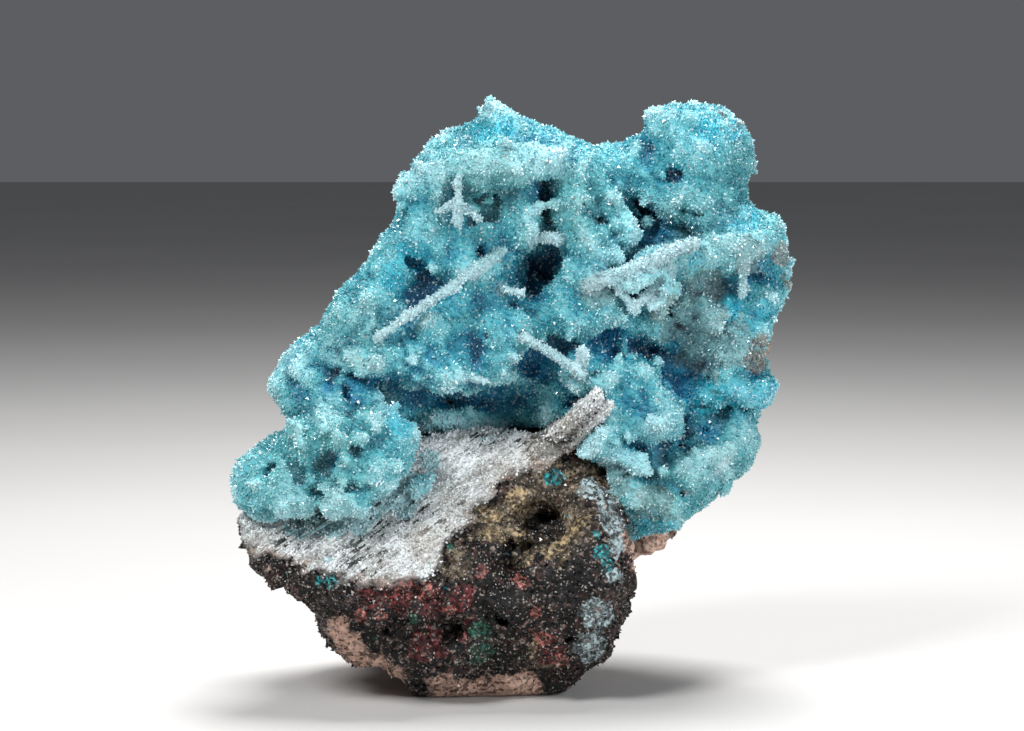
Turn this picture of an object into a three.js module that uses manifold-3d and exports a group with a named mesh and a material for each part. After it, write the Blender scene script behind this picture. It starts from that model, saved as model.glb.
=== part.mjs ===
// A drusy chrysocolla specimen: a blue crust of lumps, curtains and little rods, grown on a broken
// piece of brown host rock that has a pale quartz-coated ledge across its front.
// Millimetres. +Z is up, the viewer stands on the -Y side, and Z = 0 is the face it rests on.

import * as THREE from "three";
import { ImprovedNoise } from "three/addons/math/ImprovedNoise.js";
import { mergeVertices } from "three/addons/utils/BufferGeometryUtils.js";
import Module from "manifold-3d";

// Driving dimensions
const SEAM = 0.35; // clearance between the crust and the rock that it sits on
const BLEND = 0.7; // how far neighbouring lumps run into each other
const CRUST_CELL = 2.7; // spacing of the grid that the crust's surface is found on
const ROCK_CELL = 3.5;
const BOUNDS = { low: [-46, -33, -6], high: [47, 31, 94] };
const ROD_TIP = 0.55; // radius of a rod's end as a share of the rod's own
const SPIKE_TIP = 0.2;
const GROUND_BLOCK = 200; // side of the block that cuts the foot flat
const LEDGE_THICKNESS = 3.4;
const LEDGE_COVER = 1.5; // how far the rock under the ledge stays below its top face

// Roughness of each surface: wavelength and height of the coarse and the fine waves
const CRUST_WAVES = { coarse: [7.0, 1.0], fine: [3.4, 0.6] };
const SLAB_SWELL = { length: 19, height: 5 }; // slow waves of the face that the crust grew on
const ROCK_WAVES = { coarse: [15.0, 1.8], fine: [6.0, 1.0] };

// Forms. An ellipsoid has its centre at, its half sizes r, and the tilt in degrees that it is
// turned anticlockwise as the viewer sees it. A block has an outline in X and Z, a front and a
// back in Y, and the radius that its edges are rounded to.

const crustBody = {
  outline: [
    [-3.5, 89],
    [0, 88.5],
    [4, 86],
    [9.5, 83],
    [13, 81.5],
    [19, 83],
    [21.5, 88],
    [25, 88],
    [29, 89.5],
    [34, 86],
    [35, 79.5],
    [34.5, 75],
    [39.5, 71.5],
    [41.5, 65],
    [37, 57],
    [36.4, 53],
    [39.5, 45.5],
    [35, 40.5],
    [34.5, 37.5],
    [31.5, 33],
    [27.5, 28],
    [23, 25.5],
    [20, 21],
    [16.5, 19.5],
    [13, 20.5],
    [12, 29.5],
    [13, 37],
    [7, 41],
    [-14, 39.5],
    [-32, 44.5],
    [-34.5, 51],
    [-27.5, 56],
    [-22, 61],
    [-18.5, 70.5],
    [-14.5, 76.5],
    [-15, 80],
    [-11.5, 82.5],
    [-10, 85.5],
    [-8, 84],
  ],
  front: -4,
  back: 9,
  rounding: 4.5,
};

const crustLumps = [
  // crown of the left tower
  { at: [-3.2, -3, 85.4], r: [2.6, 3.4, 4.4] },
  { at: [-0.5, -3, 82.6], r: [6.0, 5.0, 3.6] },
  { at: [-9.8, -6, 83.2], r: [2.2, 3.2, 3.8] },
  { at: [-1.8, -10, 80.4], r: [9.6, 8.6, 3.2] },
  { at: [-12.4, -9, 78.2], r: [3.8, 7.0, 3.6], tilt: 35 },
  { at: [8.2, -4, 81.4], r: [5.0, 5.4, 3.0], tilt: -18 },
  // tower under the crown
  { at: [-12.8, -8, 72.4], r: [3.6, 8.6, 6.6], tilt: -12 },
  { at: [-4.0, -5, 73.0], r: [7.6, 8.2, 8.4] },
  { at: [2.2, -8, 73.6], r: [2.2, 8.6, 6.8] },
  { at: [-5.4, -7, 65.6], r: [7.0, 9.0, 4.0] },
  // two curtains to the right of the tower
  { at: [10.2, -8, 73.0], r: [2.8, 8.6, 7.8], tilt: 25 },
  { at: [16.4, -6, 73.8], r: [2.2, 8.4, 8.6], tilt: 32 },
  { at: [14.4, -2, 80.2], r: [5.6, 6.4, 3.4] },
  // middle
  { at: [11.2, -5, 58.2], r: [7.2, 8.6, 5.4] },
  { at: [9.8, -7, 64.2], r: [4.8, 8.0, 2.4], tilt: 8 },
  { at: [-1.8, -5, 56.6], r: [5.6, 9.0, 6.2] },
  { at: [-10.6, -6, 57.2], r: [9.4, 10.6, 5.0], tilt: 30 },
  { at: [-11.6, -8, 49.8], r: [8.8, 10.0, 2.7], tilt: -6 },
  { at: [-0.4, -7, 50.2], r: [3.2, 8.4, 3.9], tilt: 20 },
  { at: [12.6, -7, 48.4], r: [6.0, 9.6, 2.8], tilt: 6 },
  { at: [13.4, -8, 41.4], r: [3.6, 8.4, 5.4] },
  { at: [5.4, -1, 44.2], r: [5.2, 6.2, 3.2] },
  // slope that falls to the left
  { at: [-17.0, -5, 65.8], r: [4.0, 9.0, 6.4], tilt: -28 },
  { at: [-21.6, -6, 58.4], r: [8.0, 10.0, 4.6], tilt: 36 },
  { at: [-20.4, -9, 52.2], r: [8.0, 9.6, 3.4], tilt: 8 },
  { at: [-28.6, -6, 51.4], r: [6.6, 8.6, 3.4], tilt: 24 },
  { at: [-34.2, -6, 49.4], r: [2.2, 4.0, 3.0] },
  { at: [-26.4, -4, 46.0], r: [5.4, 7.6, 3.6] },
  // lumps on the ledge
  { at: [-17.2, -14, 42.6], r: [4.1, 6.0, 3.6] },
  { at: [-26.2, -14, 40.6], r: [6.4, 8.0, 5.0] },
  { at: [-31.6, -14, 36.2], r: [4.6, 8.0, 4.4] },
  { at: [-37.0, -13, 33.2], r: [4.4, 7.4, 4.8] },
  { at: [-24.2, -18, 33.6], r: [7.2, 5.6, 3.4], tilt: 6 },
  { at: [-20.0, -15, 37.6], r: [4.6, 7.4, 4.4] },
  { at: [-28.0, -7, 36.4], r: [9.4, 8.0, 5.4] },
  { at: [-14.2, -15, 32.2], r: [1.9, 3.0, 1.7] },
  // right tower
  { at: [27.8, 0, 82.0], r: [7.8, 9.4, 7.0] },
  { at: [22.2, -1, 86.2], r: [3.0, 5.0, 3.0] },
  { at: [26.6, -2, 74.8], r: [8.6, 8.0, 3.8] },
  { at: [19.6, -1, 77.4], r: [4.2, 6.6, 3.0] },
  // lobe below it, nearer to the viewer
  { at: [33.4, -5, 68.4], r: [7.6, 9.4, 4.0], tilt: 10 },
  { at: [38.8, -1, 66.8], r: [3.2, 6.6, 4.8] },
  { at: [36.8, -1, 60.4], r: [4.2, 7.6, 4.6] },
  { at: [27.2, -7, 66.0], r: [4.4, 8.6, 3.2] },
  { at: [21.6, -7, 66.4], r: [4.4, 7.8, 2.8], tilt: -30 },
  // knobbly middle
  { at: [28.6, -4, 58.4], r: [6.2, 8.4, 5.2] },
  { at: [33.2, -3, 54.4], r: [5.6, 7.2, 4.4] },
  { at: [22.2, -3, 57.4], r: [4.0, 7.2, 4.0] },
  { at: [19.6, -6, 47.6], r: [4.8, 8.4, 3.4], tilt: -10 },
  // lower lobes
  { at: [33.6, -3, 46.6], r: [6.2, 7.8, 3.6] },
  { at: [34.4, -1, 37.8], r: [3.0, 6.6, 5.2], tilt: -14 },
  { at: [20.6, -9, 42.2], r: [5.8, 7.8, 3.0], tilt: 22 },
  { at: [26.6, -4, 34.2], r: [6.2, 8.4, 5.6], tilt: 20 },
  { at: [20.4, -4, 28.6], r: [5.0, 8.0, 4.6], tilt: 15 },
  { at: [16.6, -5, 34.8], r: [3.6, 8.0, 4.4] },
];

const crustPits = [
  { at: [3.8, -13, 64.6], r: [4.0, 14, 3.4], tilt: -20 },
  { at: [-4.8, -16, 67.4], r: [1.4, 6, 1.3] },
  { at: [-0.4, -16, 59.4], r: [1.3, 7, 2.2] },
  { at: [-5.0, -18, 59.6], r: [1.6, 5, 1.2], tilt: 50 },
  { at: [5.2, -15, 75.4], r: [1.5, 12, 6.0], tilt: 4 },
  { at: [-2.6, -20, 73.4], r: [5.2, 7, 5.4] },
  { at: [-5.4, -13, 44.2], r: [13.5, 16, 3.4], tilt: -2 },
  { at: [3.6, -13, 49.8], r: [3.8, 13, 3.2] },
  { at: [8.6, -14, 44.4], r: [5.0, 10, 2.2], tilt: 25 },
  { at: [8.6, -14, 53.4], r: [3.6, 6, 1.4], tilt: -28 },
  { at: [14.8, -13, 53.2], r: [3.4, 6, 1.9] },
  { at: [-27.0, -14, 44.0], r: [11, 9, 1.5], tilt: 14 },
  { at: [18.0, -11, 71.6], r: [6.0, 12, 2.2], tilt: -42 },
  { at: [13.4, -13, 76.0], r: [1.0, 8, 6.0], tilt: 30 },
  { at: [21.4, -12, 52.8], r: [1.8, 10, 2.4] },
  { at: [25.0, -11, 56.4], r: [1.4, 6, 1.4] },
  { at: [27.4, -11, 49.6], r: [5.4, 8, 2.2], tilt: 12 },
  { at: [30.2, -9, 41.2], r: [1.6, 8, 3.6], tilt: -30 },
  { at: [31.0, -13, 61.6], r: [4.6, 6, 1.3], tilt: 14 },
  { at: [38.0, -8, 63.8], r: [2.0, 5, 1.2] },
  { at: [-26.0, -24, 37.0], r: [3.6, 5, 1.2], tilt: -35 },
  { at: [-33.6, -22, 38.6], r: [1.2, 6, 4.0], tilt: 20 },
];

const slab = {
  outline: [
    [-6.5, 83.5],
    [7, 82],
    [19, 82],
    [21.5, 87],
    [28, 89],
    [33.5, 88.5],
    [35, 80.5],
    [35.5, 72.5],
    [41.5, 67],
    [39.5, 59.5],
    [38.5, 52],
    [39, 45.5],
    [34, 37],
    [29, 29],
    [23.5, 22],
    [17, 17],
    [15, 8.5],
    [11.5, 4.6],
    [3.5, -3],
    [-12.5, -3],
    [-18, 3],
    [-25, 7.5],
    [-30.5, 16],
    [-38, 25],
    [-35, 33],
    [-26, 42],
    [-27, 49],
    [-20, 61],
    [-17, 69.5],
    [-13, 79],
  ],
  front: 5,
  back: 25.8,
  rounding: 2,
};

// Broken faces of the back of the slab: each keeps what lies under the plane n . p = d
const breaks = [
  { n: [-0.42, 0.88, 0.2], d: 31 },
  { n: [0.45, 0.86, 0.24], d: 39 },
  { n: [0.12, 0.8, 0.58], d: 54 },
  { n: [0.05, 0.86, -0.5], d: 13 },
  { n: [-0.62, 0.7, -0.34], d: 24 },
  { n: [0.62, 0.66, -0.42], d: 15 },
];

const foot = {
  outline: [
    [-37, 24],
    [-33.5, 19.5],
    [-29, 14.5],
    [-27.5, 8.5],
    [-25, 7],
    [-17.5, 4],
    [-12.5, -3],
    [3.5, -3],
    [12, 5],
    [14.5, 9],
    [16, 14.5],
    [17, 20.5],
    [14, 34],
    [10, 38],
    [-11, 34],
    [-30, 30],
  ],
  front: -20,
  back: 16,
  rounding: 9,
};

// The foot's front leans in towards the bottom
const footFace = { n: [0, -0.817, -0.577], d: 7.2 };

const rockLumps = [
  { at: [-8, -10, 20], r: [12, 12.5, 6] },
  { at: [4, -8, 27], r: [9.5, 9, 8], tilt: 35 },
  { at: [-27, -12, 21], r: [9, 10, 4.5], tilt: -20 },
  { at: [-12, -12, 9], r: [8, 7.5, 5.5] },
  { at: [6, -8, 12], r: [8.5, 9.5, 7] },
  { at: [20, 3, 24], r: [5.2, 5.4, 4.4] },
];

// Ribs of the striped zone under the ledge's right end
const rockRibs = [
  { at: [2.4, -15, 28.6], r: [14, 3.2, 1.8], tilt: 44 },
  { at: [6.4, -13.4, 25.6], r: [12, 3.4, 1.7], tilt: 50 },
  { at: [11.6, -10.6, 26.4], r: [10, 3.6, 1.9], tilt: 66 },
  { at: [10.4, -12.2, 35.6], r: [5, 3.4, 1.9], tilt: 44 },
];

const rockPits = [
  { at: [6.2, -16, 26.8], r: [3.4, 9, 2.4], tilt: 30 },
  { at: [-0.8, -20, 21.6], r: [1.6, 7, 3.0], tilt: -20 },
];

// Top face of the ledge: its outline in X and Z, and the plane n . p = d that gives its depth
const ledge = {
  outline: [
    [-41, 28],
    [-39.5, 23.5],
    [-35, 21],
    [-32, 19.4],
    [-27.5, 19],
    [-24, 17.6],
    [-20.5, 16.8],
    [-17, 17.8],
    [-13, 17.6],
    [-11, 19.5],
    [-9, 22],
    [-6.5, 23.6],
    [-3.5, 25.4],
    [-1, 28],
    [2.5, 30.6],
    [6.5, 34.8],
    [10, 36.8],
    [14, 39.4],
    [12.5, 42],
    [9, 42],
    [5, 40.5],
    [-5, 41],
    [-11, 40],
    [-17, 39],
    [-27.5, 37],
    [-38, 33],
  ],
  n: new THREE.Vector3(-0.083, -0.673, 0.735).normalize(),
  through: new THREE.Vector3(-12.3, -27, 18.3),
};

// Rods of quartz-coated crust that stand free of the surface
const rods = [
  { from: [-1.2, -11.5, 67.8], to: [-10.5, -18.6, 61.2], radius: 1.15 },
  { from: [-10.0, -18.4, 61.5], to: [-19.6, -17.4, 54.8], radius: 1.05 },
  { from: [0.6, -13, 55.0], to: [10.9, -17.4, 50.0], radius: 1.2 },
  { from: [10.2, -14.2, 49.4], to: [10.8, -17.6, 53.2], radius: 1.1 },
  { from: [10.6, -13.6, 62.6], to: [21.8, -16.2, 65.8], radius: 1.6 },
  { from: [21.4, -15.4, 67.6], to: [24.4, -14.6, 61.4], radius: 1.5 },
  { from: [24.4, -14.4, 62.4], to: [17.8, -14.2, 58.4], radius: 1.25 },
  { from: [18.6, -15.4, 62.6], to: [15.6, -14.4, 62.0], radius: 1.1 },
  { from: [35.4, -13.2, 64.6], to: [34.6, -10.6, 58.8], radius: 1.3 },
  { from: [26.4, -10.0, 32.0], to: [32.4, -9.6, 36.4], radius: 1.1 },
  { from: [-8.8, -17.6, 79.4], to: [-7.8, -18.6, 71.4], radius: 1.2 },
  { from: [-8.2, -16.8, 75.6], to: [-4.6, -18.0, 73.2], radius: 1.1 },
  { from: [-8.4, -17.6, 75.0], to: [-10.6, -17.2, 74.4], radius: 1.0 },
  { from: [-34.4, -7.0, 50.0], to: [-34.6, -8.6, 45.6], radius: 1.2 },
];
const spikes = [
  { from: [3.4, -7.2, 37.4], to: [13.2, -18.2, 47.4], radius: 1.5 },
  { from: [7.4, -7.6, 37.2], to: [15.0, -17.4, 45.4], radius: 1.2 },
];

const noise = new ImprovedNoise();

// Height of the rough waves at a point
function roughness([x, y, z], { coarse, fine }) {
  const wave = ([length, height]) => height * noise.noise(x / length, y / length + 7.3, z / length + 3.1);
  return wave(coarse) + wave(fine);
}

// Signed distance to an ellipsoid, near enough to the truth close to its surface
function toEllipsoid([x, y, z], { at, r, tilt = 0 }) {
  const turn = THREE.MathUtils.degToRad(tilt);
  const dx = x - at[0];
  const dz = z - at[2];
  const u = (Math.cos(turn) * dx + Math.sin(turn) * dz) / r[0];
  const v = (y - at[1]) / r[1];
  const w = (Math.cos(turn) * dz - Math.sin(turn) * dx) / r[2];
  const share = Math.hypot(u, v, w);
  const slope = Math.hypot(u / r[0], v / r[1], w / r[2]);
  return slope < 1e-9 ? -Math.min(...r) : (share * (share - 1)) / slope;
}

// Signed distance in X and Z to a closed outline
function toOutline([x, , z], outline) {
  let nearest = Infinity;
  let inside = false;
  outline.forEach(([ax, az], i) => {
    const [bx, bz] = outline[(i + 1) % outline.length];
    const [ex, ez, px, pz] = [bx - ax, bz - az, x - ax, z - az];
    const t = THREE.MathUtils.clamp((px * ex + pz * ez) / (ex * ex + ez * ez), 0, 1);
    nearest = Math.min(nearest, Math.hypot(px - t * ex, pz - t * ez));
    if (az > z !== bz > z && x < ax + ((z - az) / (bz - az)) * ex) inside = !inside;
  });
  return inside ? -nearest : nearest;
}

// Signed distance to a block with rounded edges
function toBlock(p, { outline, front, back, rounding }) {
  const side = toOutline(p, outline) + rounding;
  const depth = Math.max(front - p[1], p[1] - back) + rounding;
  return Math.min(Math.max(side, depth), 0) + Math.hypot(Math.max(side, 0), Math.max(depth, 0)) - rounding;
}

// The smooth union of several signed distances
function joined(distances) {
  const least = Math.min(...distances);
  const sum = distances.reduce((total, d) => total + Math.exp((least - d) / BLEND), 0);
  return least - BLEND * Math.log(sum);
}

// A body with its pits taken out, the edges of the pits a little worn
function hollowed(body, pits, p) {
  return -joined([-body, ...pits.map((pit) => toEllipsoid(p, pit))]);
}

function crustField(p) {
  const body = joined([toBlock(p, crustBody), ...crustLumps.map((lump) => toEllipsoid(p, lump))]);
  return hollowed(body, crustPits, p) + roughness(p, CRUST_WAVES);
}

function beyond(p, { n, d }) {
  return n[0] * p[0] + n[1] * p[1] + n[2] * p[2] - d;
}

function rockField(p) {
  const swell = SLAB_SWELL.height * noise.noise(p[0] / SLAB_SWELL.length, 1.7, p[2] / SLAB_SWELL.length);
  const flat = toBlock([p[0], p[1] + swell, p[2]], slab);
  const broken = Math.max(flat, ...breaks.map((plane) => beyond(p, plane)));
  const block = Math.max(toBlock(p, foot), beyond(p, footFace));
  const lumps = [...rockLumps, ...rockRibs].map((lump) => toEllipsoid(p, lump));
  const underLedge = ledge.n.dot(new THREE.Vector3(...p).sub(ledge.through)) + LEDGE_COVER;
  const rough = roughness(p, ROCK_WAVES);
  const front = Math.max(joined([block, ...lumps]) + rough, underLedge);
  return hollowed(joined([broken + rough, front]), rockPits, p);
}

// Where an inside corner of the grid meets another only across a square or a cube, the corner
// between them is filled in, so that the surface never touches itself along an edge
function fillTouching(values, count, indexAt) {
  const inside = (c) => values[c] < 0;
  let changed = true;
  while (changed) {
    changed = false;
    const fill = (c) => {
      values[c] = -0.05;
      changed = true;
    };
    for (let k = 0; k < count[2] - 1; k++) {
      for (let j = 0; j < count[1] - 1; j++) {
        for (let i = 0; i < count[0] - 1; i++) {
          const corner = (a, b, c) => indexAt(i + a, j + b, k + c);
          const squares = [
            [corner(0, 0, 0), corner(1, 0, 0), corner(1, 1, 0), corner(0, 1, 0)],
            [corner(0, 0, 0), corner(1, 0, 0), corner(1, 0, 1), corner(0, 0, 1)],
            [corner(0, 0, 0), corner(0, 1, 0), corner(0, 1, 1), corner(0, 0, 1)],
          ];
          for (const [a, b, c, d] of squares) {
            if (inside(a) && inside(c) && !inside(b) && !inside(d)) fill(b);
            if (!inside(a) && !inside(c) && inside(b) && inside(d)) fill(a);
          }
          for (const [b, c] of [[0, 0], [1, 0], [0, 1], [1, 1]]) {
            const near = corner(0, b, c);
            const far = corner(1, 1 - b, 1 - c);
            const rest = [];
            for (let n = 0; n < 8; n++) {
              const one = corner(n & 1, (n >> 1) & 1, (n >> 2) & 1);
              if (one !== near && one !== far) rest.push(one);
            }
            if (inside(near) && inside(far) && rest.every((one) => !inside(one))) {
              fill(corner(0, 1 - b, c));
              fill(corner(0, 1 - b, 1 - c));
            }
            if (!inside(near) && !inside(far) && rest.every(inside)) fill(near);
          }
        }
      }
    }
  }
}

// Moves a point onto the field's zero surface, but never out of the grid cell that it belongs to
function settled(field, start, low, cell) {
  let p = start;
  const small = 0.02 * cell;
  for (let step = 0; step < 3; step++) {
    const here = field(p);
    const slope = [0, 1, 2].map((axis) => {
      const beside = [...p];
      beside[axis] += small;
      return (field(beside) - here) / small;
    });
    const steepness = Math.max(slope[0] ** 2 + slope[1] ** 2 + slope[2] ** 2, 0.2);
    p = p.map((value, axis) => {
      const moved = value - (here * slope[axis]) / steepness;
      return THREE.MathUtils.clamp(moved, low[axis] + 0.08 * cell, low[axis] + 0.92 * cell);
    });
  }
  return p;
}

// Closed mesh of the zero surface of a field, with one vertex in each grid cell that it crosses
function skin(field, cell) {
  const { low, high } = BOUNDS;
  const count = low.map((value, axis) => Math.ceil((high[axis] - value) / cell) + 1);
  const indexAt = (i, j, k) => (k * count[1] + j) * count[0] + i;
  const point = (i, j, k) => [low[0] + i * cell, low[1] + j * cell, low[2] + k * cell];
  const values = new Float32Array(count[0] * count[1] * count[2]);
  const everyPoint = (visit) => {
    for (let k = 0; k < count[2]; k++)
      for (let j = 0; j < count[1]; j++) for (let i = 0; i < count[0]; i++) visit(i, j, k);
  };
  everyPoint((i, j, k) => {
    values[indexAt(i, j, k)] = field(point(i, j, k));
  });
  fillTouching(values, count, indexAt);

  const corners = [0, 1, 2, 3, 4, 5, 6, 7].map((n) => [n & 1, (n >> 1) & 1, (n >> 2) & 1]);
  const edges = [];
  corners.forEach((a, m) =>
    corners.forEach((b, n) => {
      const apart = Math.abs(a[0] - b[0]) + Math.abs(a[1] - b[1]) + Math.abs(a[2] - b[2]);
      if (m < n && apart === 1) edges.push([a, b]);
    }),
  );
  const vertices = [];
  const vertexOf = new Map();
  everyPoint((i, j, k) => {
    if (i === count[0] - 1 || j === count[1] - 1 || k === count[2] - 1) return;
    const sum = [0, 0, 0];
    let crossings = 0;
    for (const [a, b] of edges) {
      const first = values[indexAt(i + a[0], j + a[1], k + a[2])];
      const second = values[indexAt(i + b[0], j + b[1], k + b[2])];
      if (first < 0 === second < 0) continue;
      const t = first / (first - second);
      sum.forEach((_, axis) => (sum[axis] += a[axis] + t * (b[axis] - a[axis])));
      crossings++;
    }
    if (!crossings) return;
    const origin = point(i, j, k);
    const middle = origin.map((value, axis) => value + (cell * sum[axis]) / crossings);
    vertexOf.set(indexAt(i, j, k), vertices.length / 3);
    vertices.push(...settled(field, middle, origin, cell));
  });

  const triangles = [];
  const distance = (a, b) =>
    Math.hypot(...[0, 1, 2].map((axis) => vertices[3 * a + axis] - vertices[3 * b + axis]));
  const axes = [[1, 0, 0], [0, 1, 0], [0, 0, 1]];
  everyPoint((i, j, k) => {
    axes.forEach((along, axis) => {
      const [n, m] = [axes[(axis + 1) % 3], axes[(axis + 2) % 3]];
      if (i + along[0] >= count[0] || j + along[1] >= count[1] || k + along[2] >= count[2]) return;
      const here = values[indexAt(i, j, k)] < 0;
      const there = values[indexAt(i + along[0], j + along[1], k + along[2])] < 0;
      if (here === there) return;
      const cellAt = (s, t) =>
        vertexOf.get(indexAt(i - s * n[0] - t * m[0], j - s * n[1] - t * m[1], k - s * n[2] - t * m[2]));
      const ring = [cellAt(1, 1), cellAt(0, 1), cellAt(0, 0), cellAt(1, 0)];
      if (!here) ring.reverse();
      const [a, b, c, d] = ring;
      if (distance(a, c) < distance(b, d)) triangles.push(a, b, c, a, c, d);
      else triangles.push(a, b, d, b, c, d);
    });
  });
  return { vertices, triangles };
}

const wasm = await Module();
wasm.setup();

function solid(vertices, triangles) {
  return new wasm.Manifold(
    new wasm.Mesh({
      numProp: 3,
      vertProperties: new Float32Array(vertices),
      triVerts: new Uint32Array(triangles),
    }),
  );
}

function solidOfField(field, cell) {
  const { vertices, triangles } = skin(field, cell);
  return solid(vertices, triangles);
}

function solidOfGeometry(geometry) {
  const bare = geometry.clone();
  bare.deleteAttribute("normal");
  bare.deleteAttribute("uv");
  const closed = mergeVertices(bare, 1e-3);
  return solid(closed.getAttribute("position").array, closed.index.array);
}

// A six-sided rod with a blunt or a sharp point
function rodSolid({ from, to, radius }, tip) {
  const start = new THREE.Vector3(...from);
  const axis = new THREE.Vector3(...to).sub(start);
  const length = axis.length();
  const profile = [
    [0, 0],
    [radius, 0],
    [radius * 0.96, length - radius],
    [radius * tip, length + radius * 0.4],
    [0, length + radius * 0.6],
  ].map(([r, h]) => new THREE.Vector2(r, h));
  const rod = new THREE.LatheGeometry(profile, 6);
  const upright = new THREE.Vector3(0, 1, 0);
  rod.applyQuaternion(new THREE.Quaternion().setFromUnitVectors(upright, axis.normalize()));
  rod.translate(...start.toArray());
  return solidOfGeometry(rod);
}

// The ledge: its outline laid on the sloping plane, and carried back square to that plane
function ledgeSolid({ outline, n, through }) {
  const shape = new THREE.Shape(outline.map(([x, z]) => new THREE.Vector2(x, z)));
  const plate = new THREE.ExtrudeGeometry(shape, { depth: 1, bevelEnabled: false });
  const position = plate.getAttribute("position");
  for (let i = 0; i < position.count; i++) {
    const x = position.getX(i);
    const z = position.getY(i);
    const down = position.getZ(i) < 0.5 ? LEDGE_THICKNESS : 0;
    const y = through.y - (n.x * (x - through.x) + n.z * (z - through.z)) / n.y;
    position.setXYZ(i, x - n.x * down, y - n.y * down, z - n.z * down);
  }
  return solidOfGeometry(plate);
}

function geometryOf(manifold) {
  const { vertProperties, triVerts } = manifold.getMesh();
  const geometry = new THREE.BufferGeometry();
  geometry.setAttribute("position", new THREE.BufferAttribute(vertProperties, 3));
  geometry.setIndex(new THREE.BufferAttribute(triVerts, 1));
  geometry.computeVertexNormals();
  return geometry;
}

// The same solid with every vertex moved outwards
function grown(manifold, distance) {
  const geometry = geometryOf(manifold);
  const position = geometry.getAttribute("position");
  const normal = geometry.getAttribute("normal");
  for (let i = 0; i < position.count; i++) {
    const moved = new THREE.Vector3().fromBufferAttribute(position, i);
    moved.addScaledVector(new THREE.Vector3().fromBufferAttribute(normal, i), distance);
    position.setXYZ(i, ...moved.toArray());
  }
  return solidOfGeometry(geometry);
}

function united(solids) {
  return solids.reduce((whole, piece) => whole.add(piece));
}

function largest(manifold) {
  return manifold.decompose().sort((a, b) => b.volume() - a.volume())[0];
}

const ground = new THREE.BoxGeometry(GROUND_BLOCK, GROUND_BLOCK, GROUND_BLOCK);
ground.translate(0, 0, -GROUND_BLOCK / 2);
const rock = largest(
  united([
    solidOfField(rockField, ROCK_CELL),
    ledgeSolid(ledge),
    ...spikes.map((spike) => rodSolid(spike, SPIKE_TIP)),
  ]).subtract(solidOfGeometry(ground)),
);
const crust = largest(
  united([solidOfField(crustField, CRUST_CELL), ...rods.map((rod) => rodSolid(rod, ROD_TIP))])
    .subtract(grown(rock, SEAM))
    .subtract(rock),
);

function part(name, manifold, color, dullness) {
  const material = new THREE.MeshStandardMaterial({ color, roughness: dullness, metalness: 0 });
  const mesh = new THREE.Mesh(geometryOf(manifold), material);
  mesh.name = name;
  return mesh;
}

const specimen = new THREE.Group();
specimen.add(part("matrix", rock, 0x5a4a40, 0.85));
specimen.add(part("chrysocolla", crust, 0x6fbcc4, 0.45));

export default specimen;
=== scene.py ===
"""Visual scene of a drusy chrysocolla specimen: a blue crust full of lumps and little rods on a
broken piece of brown host rock with a pale ledge, all of it dusted with fine quartz points.

The two solids of the frame are turned into grids of signed distances, which get their finer lumps,
pits, rods and grooves here, and are turned back into smooth closed meshes. Shapes are in
millimetres, in the frame's axes, and become metres when an object is made.
"""

import itertools
import math

import bpy
import numpy as np
import openvdb as vdb
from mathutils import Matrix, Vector


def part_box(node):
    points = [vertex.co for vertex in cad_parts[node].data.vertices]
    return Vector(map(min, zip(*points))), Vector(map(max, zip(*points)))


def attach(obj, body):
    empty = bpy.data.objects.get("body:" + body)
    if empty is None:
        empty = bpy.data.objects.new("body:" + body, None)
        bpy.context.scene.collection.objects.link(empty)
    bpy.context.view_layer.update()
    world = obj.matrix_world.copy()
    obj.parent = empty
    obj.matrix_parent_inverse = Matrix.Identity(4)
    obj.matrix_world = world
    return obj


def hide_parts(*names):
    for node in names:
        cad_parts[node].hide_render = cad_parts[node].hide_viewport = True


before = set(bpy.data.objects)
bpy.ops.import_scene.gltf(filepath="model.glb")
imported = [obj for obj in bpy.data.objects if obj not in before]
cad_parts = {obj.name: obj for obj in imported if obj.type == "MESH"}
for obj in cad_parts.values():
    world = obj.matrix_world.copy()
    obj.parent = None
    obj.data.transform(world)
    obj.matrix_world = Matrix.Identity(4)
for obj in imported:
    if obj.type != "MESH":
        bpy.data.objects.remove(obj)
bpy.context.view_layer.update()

MM = 0.001

# Grids of signed distances
VOXEL = 0.62
BAND = 8  # voxels that the distances are known for on each side of a surface
ROD_MARGIN = 2  # how far round a new form the grid is worked out again
FOLD_MARGIN = 3
HOLLOW_MARGIN = 1
JUST_OUTSIDE = 0.1  # distance that makes a grid point empty
CRUMB_RADIUS = 1.9  # how far round a point crumbs are looked for
CRUMB_SHARE = 0.03  # a point with less solid than this round it belongs to a crumb
SMALLEST_PART = 120  # faces that a separate part of a mesh needs to be kept
SMALLEST_SLOPE = 1e-6  # against division by zero
SMALLEST_NUMBER = 1e-9
REPEAT = 31  # cells after which the random tables repeat

# Relief of both minerals: rounded bumps as (cell size, height), and waves as (length, height)
BUMP_EDGE = 0.62  # share of a cell's size from a bump's middle to the crease round it
RELIEF_REACH = 2.6  # how far from the smoothed surface the relief is worked out
CRUST_SMOOTHING = 5
CRUST_THINNING = 0.12  # room for the bumps
CRUST_BUMPS = [(6.2, 1.5), (3.0, 1.15), (1.6, 0.6)]
CRUST_WAVES = (9.0, 0.7)
CRUST_RELIEF = 0.62  # share of these heights that is used
CRUST_GRAIN = (1.3, 0.28)
GRAIN_REACH = 1.2
CALM_REACH = 1.5  # how far round rods and folds the bumps are lower
FOLD_CALM = 0.7  # share of the bumps' height that is left on a fold
FOLD_BLEND = 1.2  # how softly folds run into the surface round them
ROCK_SMOOTHING = 2
ROCK_BUMPS = [(4.6, 1.9), (2.5, 1.5), (1.6, 0.8)]
ROCK_WAVES = (12.0, 1.1)
ROCK_RELIEF = 0.6
FOOT_REACH = 2  # height above the ground over which the relief grows to its full size

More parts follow.
